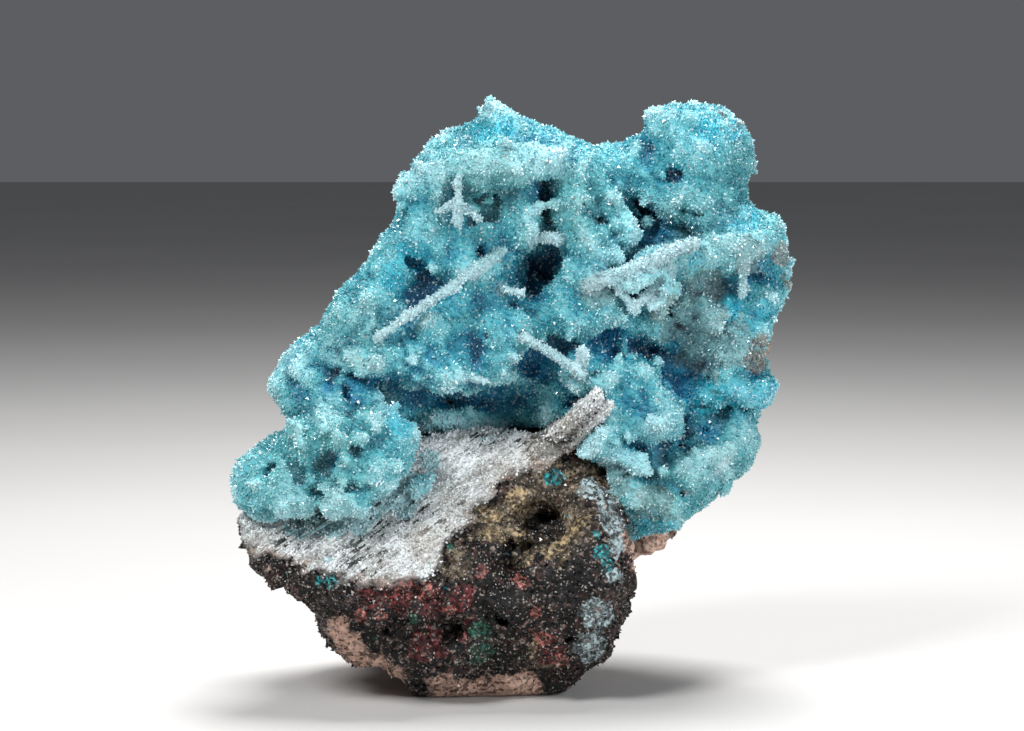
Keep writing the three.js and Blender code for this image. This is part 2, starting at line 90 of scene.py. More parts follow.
# Short knobs that sprout from the crust
KNOBS = 110
KNOB_RADIUS = (0.5, 0.95)
KNOB_LENGTH = (0.3, 0.8)
KNOB_LEAN = 0.45
KNOB_PULL = (0, -0.1, 0.25)  # towards the viewer and upwards
KNOB_SIGHT = 3.0  # how far round a knob's seat the crust counts
KNOB_FILLING = 0.62  # no knob grows where more than this share of it is solid

# Quartz points: how many, and how large
CRUST_POINTS = 69_000
ROCK_POINTS = 20_000
POINTS_PER_PIECE = 23_000
POINT_RADIUS = (0.11, 0.22)
POINT_SIZES = [0.8, 1.0, 1.35]
POINT_SIZE_SHARES = [0.4, 0.45, 0.15]
POINT_STRETCH = (1.1, 2.2)
POINT_LEAN = 0.45
POINT_RISE = 0.35  # of a point's widest part above the surface, as a share of its radius
POINT_FACES = np.array(
    [[0, 1, 4], [1, 2, 4], [2, 3, 4], [3, 0, 4], [1, 0, 5], [2, 1, 5], [3, 2, 5], [0, 3, 5]]
)
SPARSE = 0.12  # how thick the crust's points stand behind, as a share of the front
ROCK_WEIGHTS = (0.04, 0.6, 2.2)  # on the rock: everywhere, more in front, and more on the ledge

# The ledge: a point and the normal of its top face, and the way that its grooves run
LEDGE_POINT = np.array([-12.3, -27.0, 18.3])
LEDGE_NORMAL = np.array([-0.083, -0.673, 0.735])
LEDGE_NORMAL /= np.linalg.norm(LEDGE_NORMAL)
LEDGE_GROOVES = np.array([30.0, 18.0, 19.9])

# Waves drawn out along the grooves: their lengths along, across and above them, and their heights
GROOVE_LENGTHS = (7, 1.5, 4)
GROOVE_HEIGHT = 0.75
LEDGE_GRAIN = (1.5, 0.3)
TEAR_LENGTHS = (3.5, 1.1, 2)
EDGE_TEARS = 1.6
EDGE_CRUMBLING = (1.2, 0.6)
RIB_LENGTHS = (9, 2.6, 5)
RIB_HEIGHT = 1.6  # in the brown rock beside the ledge
STREAK_STRETCH = (0.24, 1.0, 0.6)

# Camera
VIEW_ELEVATION = 5.0
LENS = 105.0
SENSOR = 36.0
IMAGE = (1024, 731)
MM_PER_PIXEL = 0.15
AIM = (0.0, -10.0, 45.0)
AIM_ROW = 403  # where that place is seen in the image
GROUND_ROW = 697
VIEW_DISTANCE = MM_PER_PIXEL * IMAGE[0] * LENS / SENSOR
VIEW_RISE = (AIM_ROW - IMAGE[1] / 2) * MM_PER_PIXEL

# Stage, in metres, with each light as (name, place, size, watts, colour)
FLOOR_SIZE = 6.0
LIT_PLACE = (0, 0, 0.045)
LIGHTS = [
    ("key", (-0.25, -0.35, 0.42), 0.16, 3.15, (1, 1, 1)),
    ("fill", (0.42, -0.38, 0.20), 0.30, 2.25, (0.93, 0.97, 1.0)),
    ("top", (0.05, 0.10, 0.50), 0.25, 3.9, (1, 1, 1)),
]
SKY_COLOUR = (0.9, 0.93, 1.0)
SKY_STRENGTH = 0.12

# Rods that stand free of the crust, as (from, to, radius); the last is a column in the hole
RODS = [
    ((-1.2, -12.6, 68.2), (-10.5, -18.6, 61.8), 0.75),
    ((-10.4, -18.5, 61.9), (-20.0, -17.6, 55.4), 0.75),
    ((1.8, -13.0, 55.2), (10.4, -17.4, 50.2), 0.8),
    ((10.2, -14.2, 49.8), (10.4, -17.6, 53.4), 0.85),
    ((11.6, -14.0, 62.8), (21.8, -16.2, 67.0), 1.15),
    ((21.4, -15.8, 67.4), (26.8, -14.6, 69.2), 1.0),
    ((23.4, -14.8, 65.0), (17.6, -14.6, 59.4), 0.8),
    ((16.0, -14.6, 62.0), (18.4, -14.8, 59.2), 0.7),
    ((34.8, -11.6, 66.4), (34.4, -9.0, 61.2), 0.8),
    ((26.4, -10.0, 32.0), (32.4, -9.6, 36.4), 0.8),
    ((-8.0, -17.6, 78.6), (-7.9, -18.6, 72.2), 0.7),
    ((-7.9, -17.8, 75.4), (-4.8, -18.2, 72.8), 0.65),
    ((-8.0, -17.8, 75.6), (-10.8, -17.4, 73.9), 0.6),
    ((-34.4, -7.0, 50.0), (-34.6, -8.6, 45.6), 0.8),
    ((-10.6, -13.4, 49.6), (-3.0, -13.8, 48.6), 0.5),
    ((2.6, -11.6, 70.0), (6.8, -13.0, 69.8), 0.85),
    ((-2.4, -11.0, 62.4), (1.4, -13.0, 61.8), 0.7),
    ((2.0, -3.0, 69.0), (1.0, -4.5, 63.0), 1.0),
]
SPIKES = [
    ((4.4, -9.2, 38.4), (12.6, -18.2, 47.2), 0.95),
    ((8.4, -9.6, 38.4), (14.6, -17.4, 45.6), 0.7),
]

# Rounded folds and lumps, each along some places, as (places, radius)
FOLDS = [
    ([(7.2, -11.2, 79.6), (8.2, -11.6, 75.2)], 2.1),
    ([(8.6, -11.2, 73.8), (11.0, -11.4, 69.9)], 2.9),
    ([(12.4, -11.6, 69.6), (14.8, -12.4, 67.4)], 1.5),
    ([(10.2, -12.0, 68.8), (12.4, -12.8, 66.2)], 1.4),
    ([(10.8, -8.4, 80.0), (13.9, -9.6, 75.8), (17.3, -10.4, 70.4)], 2.0),
    ([(4.9, -5.0, 79.5), (4.6, -5.5, 72.6)], 2.6),
    ([(1.2, -10.8, 80.0), (1.4, -10.8, 75.6), (0.8, -10.4, 71.2)], 2.5),
    ([(-14.4, -13.6, 77.6), (-8.0, -14.6, 80.4), (-1.0, -15.2, 81.4), (4.4, -14.6, 81.0)], 2.2),
    ([(-12.8, -12.4, 73.0), (-11.4, -12.2, 66.4)], 1.8),
    ([(8.4, -9.6, 70.4), (9.8, -9.8, 66.6)], 1.8),
    ([(-2.8, -3.6, 87.4), (-2.2, -4.6, 85.0)], 1.9),
    ([(-10.8, -9.4, 82.8), (-9.8, -10.4, 81.0)], 1.7),
    ([(15.0, -12.6, 38.4), (19.0, -13.4, 36.4)], 1.5),
    ([(23.6, -11.0, 41.6), (22.0, -12.6, 45.6)], 1.8),
    ([(26.0, -11.0, 35.4), (32.6, -9.4, 38.0)], 1.1),
    ([(27.6, -10.4, 33.6), (31.4, -8.8, 34.6)], 1.0),
    ([(18.6, -11.4, 31.6), (23.6, -11.4, 29.8)], 1.7),
    ([(-34.0, -8.6, 47.0), (-31.5, -11.0, 43.6)], 2.2),
    ([(-29.0, -12.4, 48.0), (-27.4, -14.0, 44.4)], 2.3),
    ([(-24.6, -13.4, 47.6), (-20.8, -14.6, 45.8)], 1.9),
    ([(-17.4, -16.6, 43.4), (-16.0, -16.4, 40.8)], 2.0),
    ([(-20.2, -16.8, 41.8), (-17.8, -16.6, 40.6)], 3.5),
    ([(-30.0, -16.6, 40.2), (-26.6, -16.6, 41.2)], 3.5),
    ([(-38.6, -14.6, 35.2), (-38.4, -15.0, 32.6)], 2.5),
    ([(-26.0, -20.6, 30.6), (-22.4, -20.6, 31.0)], 1.7),
    ([(-34.0, -19.0, 30.6), (-30.6, -19.6, 31.0)], 1.5),
    ([(-15.2, -12.0, 32.2), (-13.2, -11.2, 33.4)], 1.2),
    ([(-13.8, -12.4, 32.0), (-12.8, -12.0, 32.2)], 1.0),
]

# Dents, as (x, z, half width, half height, depth, tilt)
DENTS = [
    (-4.2, 75.0, 3.4, 3.8, 1.6, 0), (19.7, 63.8, 1.5, 1.4, 2.0, 0),
    (-15.0, 66.4, 2.4, 2.0, 2.0, 30), (14.0, 55.0, 3.6, 2.4, 2.6, 0),
    (24.0, 79.0, 2.0, 1.4, 1.6, 20), (27.0, 73.4, 2.6, 0.9, 2.0, -10),
    (-23.6, 40.6, 3.6, 1.4, 1.4, -70), (-28.6, 32.6, 2.8, 1.5, 2.0, 10),
    (-34.0, 31.0, 1.5, 2.6, 1.8, -10), (-35.2, 36.4, 1.8, 0.8, 1.8, 40),
    (-32.2, 37.0, 1.7, 4.6, 1.5, 15), (-25.0, 34.0, 3.6, 1.4, 1.3, -15),
    (-27.2, 37.0, 2.2, 2.6, 1.3, 0), (-20.4, 35.6, 1.4, 3.0, 1.2, -15),
    (29.2, 40.2, 0.9, 1.8, 3.0, -15), (31.6, 44.0, 5.0, 0.6, 1.4, 0),
    (25.6, 38.6, 2.2, 0.8, 2.0, 25), (16.8, 34.4, 1.8, 0.7, 2.0, 15),
    (20.0, 34.0, 1.6, 0.7, 2.0, -20), (25.6, 31.4, 1.6, 0.7, 1.8, 10),
]

# Hollows cut deeper than in the solid, as (centre, half sizes, tilt in degrees seen from the front)
HOLLOWS = [
    ((3.6, -14, 64.6), (3.9, 13, 3.3), -20), ((20.4, -11, 73.2), (4.2, 11, 1.8), -38),
    ((12.0, -14.4, 73.0), (3.8, 3.0, 0.5), -52), ((21.4, -12, 52.8), (1.5, 9, 2.1), 0),
    ((-4.8, -16, 67.8), (1.1, 6, 1.7), 0), ((0.0, -16, 60.0), (1.5, 7, 1.4), 0),
    ((-3.8, -16, 55.2), (0.7, 5, 0.8), 0), ((-7.8, -16, 54.6), (0.5, 5, 0.9), 0),
    ((25.0, -11, 56.4), (1.1, 5, 1.1), 0), ((28.0, -13, 61.4), (1.4, 5, 0.9), 0),
    ((24.0, -12, 58.4), (0.9, 6, 0.8), 0), ((31.0, -12, 56.2), (1.2, 6, 0.6), 30),
    ((27.2, -12, 53.8), (0.7, 6, 0.9), 0), ((29.4, -12, 50.8), (1.3, 6, 0.6), -15),
    ((34.0, -10, 53.0), (0.9, 5, 0.6), 20), ((30.0, -8, 40.6), (0.9, 6, 2.6), -30),
    ((3.0, -12, 49.6), (3.4, 11, 2.6), 0), ((8.6, -13, 44.2), (4.6, 9, 1.8), 25),
    ((-5.4, -12, 43.8), (12.6, 15, 2.7), -2), ((-37.2, -13, 41.8), (3.4, 14, 2.2), 35),
    ((-24.6, -19, 46.8), (1.5, 6, 2.6), 15), ((-31.4, -24, 26.6), (2.6, 5, 1.7), 20),
    ((-25.4, -24, 26.8), (2.2, 5, 1.8), -20), ((-37.0, -23, 27.8), (2.2, 5, 1.6), 0),
]
ROCK_HOLLOWS = [
    ((5.2, -15, 27.4), (3.6, 10, 2.4), 12), ((2.6, -18, 24.4), (1.4, 6, 1.0), 40),
    ((-0.6, -20, 23.6), (0.9, 6, 1.9), -10), ((11.0, -16, 34.4), (1.6, 6, 1.2), 30),
    ((-9.0, -20, 12.0), (2.2, 5, 1.4), 10), ((-18.5, -20, 12.0), (1.8, 5, 1.4), -20),
    ((-1.6, -19, 13.4), (1.8, 5, 1.5), 0), ((8.4, -15, 10.6), (1.6, 5, 1.3), 20),
]

# Where the ledge's coat ends below, as (x, height) seen from the front
LEDGE_EDGE = [
    (-42, 24), (-36.5, 21.0), (-30.6, 19.0), (-22, 17.2), (-13, 17.6), (-7.8, 25.2), (-1.8, 31.8),
    (7.2, 35.8), (11.7, 40),
]
LEDGE_STEP = 1.3  # how deep the ledge breaks off beyond that line

# Places with a colour of their own, and places of painted light and shade, as (x, height, radius)
# seen from the front
SPOT_REACH = 1.2  # where a place's colour ends, in radii
SPOT_SOFTNESS = 0.7
TURQUOISE = [
    (-1.4, 85.6, 2.4), (-4.6, 85.0, 1.8), (29.5, 85.0, 2.2), (33.4, 85.2, 1.8), (-14.8, 66.2, 3.0),
    (-18.0, 63.4, 3.0), (28.4, 45.4, 3.0), (33.6, 44.4, 3.6), (38.6, 45.0, 3.0), (32.4, 58.6, 1.8),
    (33.4, 56.4, 1.4), (38.0, 58.4, 1.6), (34.8, 71.8, 2.4), (27.6, 65.6, 1.6), (20.5, 25.6, 3.2),
    (23.4, 25.4, 1.6), (-16.6, 41.6, 3.2),
]
FROSTED = [
    (16.0, 64.0, 5.5), (23.0, 66.5, 4.4), (20.5, 60.0, 3.0), (-12.0, 79.0, 3.4), (-5.0, 80.0, 3.4),
    (2.0, 81.0, 4.0), (7.0, 80.6, 3.0), (-9.5, 74.6, 3.0), (31.0, 69.0, 5.4), (18.5, 35.6, 3.6),
    (12.4, 38.2, 2.6), (15.4, 36.6, 2.6), (31.0, 35.0, 3.0), (27.4, 35.0, 3.4), (35.0, 40.0, 3.0),
    (22.0, 41.0, 3.2), (-26.0, 52.0, 3.4), (-16.0, 57.0, 3.0), (-28.0, 43.0, 2.6),
    (-18.6, 44.6, 2.4), (-33.4, 29.4, 3.4), (-26.6, 29.4, 2.6), (-33.0, 50.0, 3.4),
    (-22.0, 56.4, 3.0), (4.6, 69.0, 2.6), (22.4, 72.0, 2.2),
]
DUSTY = [
    (30.0, 53.0, 6.5), (25.0, 56.5, 4.5), (38.0, 52.0, 3.4), (28.6, 61.4, 3.6), (35.6, 66.4, 3.0),
    (14.6, 32.6, 4.0), (21.4, 29.2, 3.8), (12.4, 60.8, 3.0),
]
GREENISH = [
    (-2, 75, 5), (-30, 37, 12), (33, 36, 8), (27, 68, 8), (-5, 78, 9), (24, 30, 7), (10, 74, 7),
    (-24, 55, 7), (36, 76, 8),
]
# Recesses given painted shade in deep blue
RECESS_SHADE_SPOTS = [
    (-13.5, 46.6, 6.0), (-4.0, 45.4, 5.0), (3.2, 49.4, 3.6), (14.0, 54.4, 4.0), (-15.0, 65.8, 2.4),
    (4.4, 75.6, 1.6), (0.4, 54.0, 2.4), (25.0, 47.0, 3.4), (29.2, 39.6, 1.8), (21.4, 69.8, 3.0),
    (-31.4, 45.6, 1.7), (-27.6, 46.0, 1.5), (-24.0, 45.8, 2.2), (-20.4, 47.2, 1.8),
    (-25.4, 35.0, 2.0),
]
RUSTY = [
    (41.0, 66.6, 2.2), (41.6, 62.8, 1.6), (36.8, 50.4, 2.4), (37.4, 53.4, 1.4), (31.8, 88.4, 1.8),
    (33.8, 86.6, 1.6),
]

ROCK_PLACES = {
    "earth": [
        (2.4, 30.0, 5.4), (7.0, 26.6, 6.0), (-3.0, 26.4, 4.4), (10.4, 33.0, 4.2),
        (-8.5, 20.5, 3.0), (4.6, 34.4, 3.0),
    ],
    "ochre": [
        (-3.6, 26.0, 3.0), (0.6, 22.4, 3.0), (7.4, 22.0, 3.2), (9.8, 25.6, 3.2), (1.0, 29.0, 2.6),
        (5.0, 6.8, 3.4),
    ],
    "red": [
        (-17, 15.6, 3.6), (-21.4, 14.8, 2.4), (-12, 14.6, 3.0), (-12.6, 8.0, 3.2),
        (-7.6, 15.0, 2.4), (5.6, 7.0, 2.6), (-6, 11, 1.4),
    ],
    "rose": [
        (-13.3, 15.8, 1.5), (-16.4, 17.2, 1.7), (-9.4, 13.0, 1.1), (3.5, 12.8, 1.0),
        (1.2, 17.2, 1.5), (-4.4, 18.8, 1.3), (-19.6, 12.6, 1.0), (-7.4, 9.0, 0.8), (4.6, 8.8, 1.4),
        (7.6, 5.4, 1.2), (-22.8, 12.2, 1.4),
    ],
    "green": [
        (-4.8, 9.8, 2.2), (-4.9, 6.8, 2.0), (-14.8, 11.6, 0.9), (-9.4, 22.6, 0.7),
    ],
    # black: dark stains, and painted shadow in the cave at (5.0, 25.5)
    "black": [
        (9.0, 16.6, 5.0), (-2.0, 13.6, 3.4), (-1.4, 5.8, 2.6), (-22.6, 9.4, 2.0), (5.0, 25.5, 2.9),
        (-0.6, 22.2, 1.7), (-38, 22, 2),
    ],
    "pink": [
        (-5.6, 0.4, 3.6), (-1.4, 0.4, 3.6), (2.0, 1.6, 2.6), (-10.6, 1.6, 2.6), (-26.2, 10.4, 2.4),
        (-24.2, 7.2, 2.8), (-21.0, 4.6, 2.6), (-17.8, 2.8, 2.4), (-13.6, 22.0, 2.4),
    ],
    "grey": [
        (12.8, 12.6, 3.0), (11.6, 7.4, 2.6), (14.4, 29.6, 2.6), (14.8, 26.0, 2.2),
        (15.2, 22.4, 1.8), (15.4, 18.4, 1.6), (11.6, 31, 2),
    ],
    "sandy": [
        (-13, 23, 4), (-8, 28, 4.5), (-2, 32.6, 4.5), (4, 36, 4), (8, 40, 4), (-20, 19, 3),
        (-38, 22, 3),
    ],
    "pitted": [
        (-33.5, 26.4, 3.4), (-28.4, 26.0, 3.0), (-37.4, 23.4, 3.0), (-24, 22, 2.4), (-3, 33, 3.0),
        (5, 37.6, 3.0),
    ],
    "tinted": [
        (-38, 29.5, 4), (-33, 28, 4.2), (-28, 27.6, 4.2), (-22.6, 28.4, 4.2), (-17, 30.5, 4),
        (-12.4, 35.6, 2.2),
    ],
    "blue": [
        (6.2, 32.8, 1.6), (-27.0, 17.3, 1.2), (-29.0, 17.5, 0.8), (13.4, 21.8, 1.6),
        (14.2, 19.6, 1.2), (-10.2, 16.4, 0.6), (12.8, 24.4, 1.0),
    ],
}
BACK_PINK = [(20.4, 22.6, 4.6)]


# Random but repeatable fields


def table_of(seed, values):
    """A table of random values for cells, which repeats after REPEAT cells."""
    return np.random.default_rng(seed).random((REPEAT, REPEAT, REPEAT, values)).astype(np.float32)


def looked_up(table, cube):
    i, j, k = (cube % REPEAT).T
    return table[i, j, k]


def cells(points, size, seed):
    """Distance from each point to the nearest of scattered centres, as a share of their spacing."""
    table = table_of(seed, 3)
    scaled = points / size
    base = np.floor(scaled).astype(int)
    nearest = np.full(len(points), np.inf, np.float32)
    for corner in itertools.product((-1, 0, 1), repeat=3):
        cube = base + corner
        centre = cube + looked_up(table, cube)
        nearest = np.minimum(nearest, np.linalg.norm(scaled - centre, axis=1))
    return nearest


def waves(points, size, seed):
    """Smooth noise between -1 and 1."""
    table = table_of(seed, 1)[..., 0]
    scaled = points / size
    base = np.floor(scaled).astype(int)
    part = scaled - base
    part = part * part * (3 - 2 * part)
    total = np.zeros(len(points), np.float32)
    for corner in itertools.product((0, 1), repeat=3):
        share = np.prod(np.where(corner, part, 1 - part), axis=1)
        total += share * looked_up(table, base + corner)
    return 2 * total - 1


# Shapes as signed distances, negative inside


def to_ellipsoid(points, centre, half, tilt):
    turn = math.radians(tilt)
    offset = points - np.array(centre)
    u = (math.cos(turn) * offset[..., 0] + math.sin(turn) * offset[..., 2]) / half[0]
    v = offset[..., 1] / half[1]
    w = (math.cos(turn) * offset[..., 2] - math.sin(turn) * offset[..., 0]) / half[2]
    share = np.sqrt(u * u + v * v + w * w)
    slope = np.sqrt((u / half[0]) ** 2 + (v / half[1]) ** 2 + (w / half[2]) ** 2)
    return share * (share - 1) / np.maximum(slope, SMALLEST_SLOPE)


def to_rod(points, start, end, radius):
    start, end = np.array(start), np.array(end)
    axis = end - start
    along = np.clip((points - start) @ axis / (axis @ axis), 0, 1)
    return np.linalg.norm(points - start - along[..., None] * axis, axis=-1) - radius


class Solid:
    """Signed distances in millimetres to a node's surface, on a grid of points round it."""

    def __init__(self, node, smoothing):
        mesh = node.data
        corners = np.empty(len(mesh.vertices) * 3, np.float32)
        mesh.vertices.foreach_get("co", corners)
        mesh.calc_loop_triangles()
        triangles = np.empty(len(mesh.loop_triangles) * 3, np.int32)
        mesh.loop_triangles.foreach_get("vertices", triangles)
        self.space = vdb.createLinearTransform(voxelSize=VOXEL)
        grid = vdb.FloatGrid.createLevelSetFromPolygons(
            corners.reshape(-1, 3) / MM,
            triangles=triangles.reshape(-1, 3).astype(np.uint32),
            transform=self.space,
            halfWidth=BAND,
        )
        low = np.array([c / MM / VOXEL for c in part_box(node.name)[0]])
        high = np.array([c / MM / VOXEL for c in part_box(node.name)[1]])
        self.low = np.floor(low).astype(int) - BAND
        shape = np.ceil(high).astype(int) + BAND - self.low
        self.values = np.zeros(shape, np.float32)
        grid.copyToArray(self.values, ijk=tuple(int(n) for n in self.low))
        for _ in range(smoothing):
            for axis in range(3):
                around = np.roll(self.values, 1, axis) + np.roll(self.values, -1, axis)
                self.values = (2 * self.values + around) / 4

    def near(self, distance):
        """Which grid points are close to the surface, and where they are."""
        close = np.abs(self.values) < distance
        return close, (np.argwhere(close) + self.low) * VOXEL

    def box_round(self, low, high):
        """The part of the grid between two corners, and its points."""
        first = np.clip(np.floor(np.array(low) / VOXEL).astype(int) - self.low, 0, self.values.shape)
        last = np.clip(np.ceil(np.array(high) / VOXEL).astype(int) - self.low, 0, self.values.shape)
        part = tuple(slice(a, b) for a, b in zip(first, last))
        ranges = [np.arange(a, b) for a, b in zip(first, last)]
        indices = np.stack(np.meshgrid(*ranges, indexing="ij"), -1)
        return part, (indices + self.low) * VOXEL

    def add_rod(self, start, end, radius):
        reach = radius + ROD_MARGIN
        low, high = np.minimum(start, end) - reach, np.maximum(start, end) + reach
        part, points = self.box_round(low, high)
        rod = to_rod(points, start, end, radius)
        self.values[part] = np.minimum(self.values[part], rod)

    def cut_hollow(self, centre, half, tilt):
        reach = max(half) + HOLLOW_MARGIN
        part, points = self.box_round(np.array(centre) - reach, np.array(centre) + reach)
        hollow = to_ellipsoid(points, centre, half, tilt)
        self.values[part] = np.maximum(self.values[part], -hollow)

    def front(self, x, z):
        """How far back the viewer meets the surface, as the middle one of nine places."""
        found = []
        for aside, above in itertools.product((-1, 0, 1), repeat=2):
            i, _, k = np.rint(np.array([x + aside, 0, z + above]) / VOXEL).astype(int) - self.low
            solid = np.flatnonzero(self.values[i, :, k] < 0)
            if len(solid):
                found.append((solid[0] + self.low[1]) * VOXEL)
        return float(np.median(found))

    def cut_dent(self, x, z, half_width, half_height, depth, tilt):
        self.cut_hollow((x, self.front(x, z), z), (half_width, depth, half_height), tilt)

    def add_fold(self, places, radius):
        reach = radius + FOLD_MARGIN
        low, high = np.min(places, axis=0) - reach, np.max(places, axis=0) + reach
        part, points = self.box_round(low, high)
        fold = np.min([to_rod(points, a, b, radius) for a, b in itertools.pairwise(places)], axis=0)
        old = self.values[part]
        share = np.clip(0.5 + (old - fold) / (2 * FOLD_BLEND), 0, 1)
        self.values[part] = old * (1 - share) + fold * share - FOLD_BLEND * share * (1 - share)

    def filled_share(self, radius):
        """How much of the space within about this many millimetres of each grid point is solid."""
        share = (self.values < 0).astype(np.float32)
        width = max(1, round(radius / VOXEL / 2))
        for axis in range(3):
            for _ in range(2):
                running = np.cumsum(share, axis=axis)
                inside = np.roll(running, -width, axis) - np.roll(running, width + 1, axis)
                share = inside / (2 * width + 1)
        return share

    def drop_crumbs(self):
        """Takes away bits that are too small to hold on to anything."""
        alone = (self.values < 0) & (self.filled_share(CRUMB_RADIUS) < CRUMB_SHARE)
        self.values[alone] = JUST_OUTSIDE

    def sample(self, array, points):
        """The values of an array of the grid's shape that are nearest to these points."""
        index = np.rint(points / VOXEL).astype(int) - self.low
        index = np.clip(index, 0, np.array(self.values.shape) - 1)
        return array[index[:, 0], index[:, 1], index[:, 2]]

    def surface(self):
        """Vertices and faces of the zero surface."""
        grid = vdb.FloatGrid(BAND * VOXEL)
        grid.copyFromArray(self.values, ijk=tuple(int(n) for n in self.low))
        grid.transform = self.space
        points, _, quads = grid.convertToPolygons(isovalue=0.0, adaptivity=0.0)
        return np.asarray(points), np.asarray(quads)


def bump_height(points, bumps, seed):
    """Height of rounded bumps that touch each other in creases."""
    height = np.zeros(len(points), np.float32)
    for n, (size, most) in enumerate(bumps):
        height += most * (BUMP_EDGE - cells(points, size, seed + n)) / BUMP_EDGE
    return height


def ledge_height(points):
    """Distance above the plane of the ledge's top face."""
    return (points - LEDGE_POINT) @ LEDGE_NORMAL


def groove_axes():
    """Unit ways along and across the ledge's grooves, and out of its top face."""
    along = LEDGE_GROOVES - (LEDGE_GROOVES @ LEDGE_NORMAL) * LEDGE_NORMAL
    along /= np.linalg.norm(along)
    return along, np.cross(LEDGE_NORMAL, along), LEDGE_NORMAL


def grooved(points, lengths):
    """Places along, across and above the ledge's grooves, each as a share of its length."""
    places = [points @ axis / length for axis, length in zip(groove_axes(), lengths)]
    return np.stack(places, axis=1)


def seen(points):
    """Where the viewer sees each point, as x and height above the ground in the plane of AIM."""
    tilt = math.radians(VIEW_ELEVATION)
    behind = points[:, 1] - AIM[1]
    above = points[:, 2] - AIM[2]
    rise = above * math.cos(tilt) + behind * math.sin(tilt)
    away = VIEW_DISTANCE + behind * math.cos(tilt) - above * math.sin(tilt)
    scale = VIEW_DISTANCE / away
    aim_height = (GROUND_ROW - AIM_ROW) * MM_PER_PIXEL
    return points[:, 0] * scale, aim_height + VIEW_RISE + (rise - VIEW_RISE) * scale


def spots(points, places):
    """How far each point is inside any of these round places, from 0 to 1."""
    across, height = seen(points)
    inside = np.zeros(len(points), np.float32)
    for x, z, radius in places:
        away = np.hypot(across - x, height - z) / radius
        inside = np.maximum(inside, np.clip((SPOT_REACH - away) / SPOT_SOFTNESS, 0, 1))
    return inside


def gap_to_rods(points, rods):
    """Distance from each point to the nearest of these rods."""
    return np.min([to_rod(points, *rod) for rod in rods], axis=0)


def past_ledge_edge(points):
    """How far below the end of the ledge's coat each point is seen."""
    across, height = seen(points)
    torn = EDGE_TEARS * waves(grooved(points, TEAR_LENGTHS), 1.0, 47)
    torn += EDGE_CRUMBLING[1] * waves(points, EDGE_CRUMBLING[0], 48)
    return np.interp(across, *zip(*LEDGE_EDGE)) - height + torn


def clipped(values):
    return np.clip(values, 0, 1).astype(np.float32)


def fade(values, none, full):
    """0 for values at none and past it, 1 at full and past it, and a straight line between."""
    return clipped((values - none) / (full - none))


# Making objects


def without_strays(points, faces):
    """The mesh without its small separate parts."""
    label = np.arange(len(points))
    while True:
        spread = label.copy()
        np.minimum.at(spread, faces.ravel(), np.repeat(label[faces].min(axis=1), faces.shape[1]))
        spread = spread[spread]
        if np.array_equal(spread, label):
            break
        label = spread
    part = label[faces[:, 0]]
    kept = faces[np.bincount(part)[part] >= SMALLEST_PART]
    used, index = np.unique(kept, return_inverse=True)
    return points[used], index.reshape(kept.shape)


def make_mesh(name, points, faces, colours, smooth):
    """A mesh object with one number per corner in each of the named colours."""
    mesh = bpy.data.meshes.new(name)
    mesh.vertices.add(len(points))
    mesh.vertices.foreach_set("co", (points * MM).astype(np.float32).ravel())
    corners = faces.shape[1]
    mesh.loops.add(len(faces) * corners)
    mesh.loops.foreach_set("vertex_index", faces.astype(np.int32).ravel())
    mesh.polygons.add(len(faces))
    mesh.polygons.foreach_set("loop_start", np.arange(len(faces), dtype=np.int32) * corners)
    mesh.polygons.foreach_set("use_smooth", np.full(len(faces), smooth))
    for label, values in colours.items():
        attribute = mesh.attributes.new(label, "FLOAT", "POINT")
        attribute.data.foreach_set("value", values.astype(np.float32))
    mesh.update(calc_edges=True)
    mesh.validate()
    made = bpy.data.objects.new(name, mesh)
    bpy.context.scene.collection.objects.link(made)
    return made


def outward(points, faces):
    """The faces, turned so that the mesh's volume is positive."""
    a, b, c = (points[faces[:, n]] for n in range(3))
    volume = np.einsum("ij,ij->i", a, np.cross(b, c)).sum()
    return faces if volume > 0 else faces[:, ::-1]


def unit(vectors):
    return vectors / np.linalg.norm(vectors, axis=1)[:, None]


def face_frames(points, faces):
    """Middle, unit normal and area of each four-cornered face."""
    a, b, c, d = (points[faces[:, n]] for n in range(4))
    middle = points[faces].mean(axis=1)
    cross = np.cross(c - a, d - b)
    area = np.linalg.norm(cross, axis=1) / 2
    return middle, cross / np.maximum(2 * area, SMALLEST_NUMBER)[:, None], area


def make_points(name, seats, normals, colours, material, slot, seed):
    """Quartz points: a stretched eight-sided form at each seat, most of it out of the surface."""
    rng = np.random.default_rng(seed)
    count = len(seats)
    axis = unit(normals + rng.normal(0, POINT_LEAN, (count, 3)))
    side = unit(np.cross(axis, rng.normal(0, 1, (count, 3))))
    other = np.cross(axis, side)
    radius = rng.uniform(*POINT_RADIUS, count) * rng.choice(POINT_SIZES, count, p=POINT_SIZE_SHARES)
    radius = radius[:, None]
    tall = radius * rng.uniform(*POINT_STRETCH, count)[:, None]
    middle = seats + axis * radius * POINT_RISE
    ring = [middle + way * radius for way in (side, other, -side, -other)]
    corners = np.stack([*ring, middle + axis * tall, middle - axis * radius], axis=1)
    per_point = corners.shape[1]
    faces = (POINT_FACES + per_point * np.arange(count)[:, None, None]).reshape(-1, 3)
    spread = {label: np.repeat(values, per_point) for label, values in colours.items()}
    spread["chance"] = np.repeat(rng.random(count), per_point)
    made = make_mesh(name, corners.reshape(-1, 3), faces, spread, smooth=False)
    made.data.materials.append(material)
    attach(made, "root")
    return made


# Materials


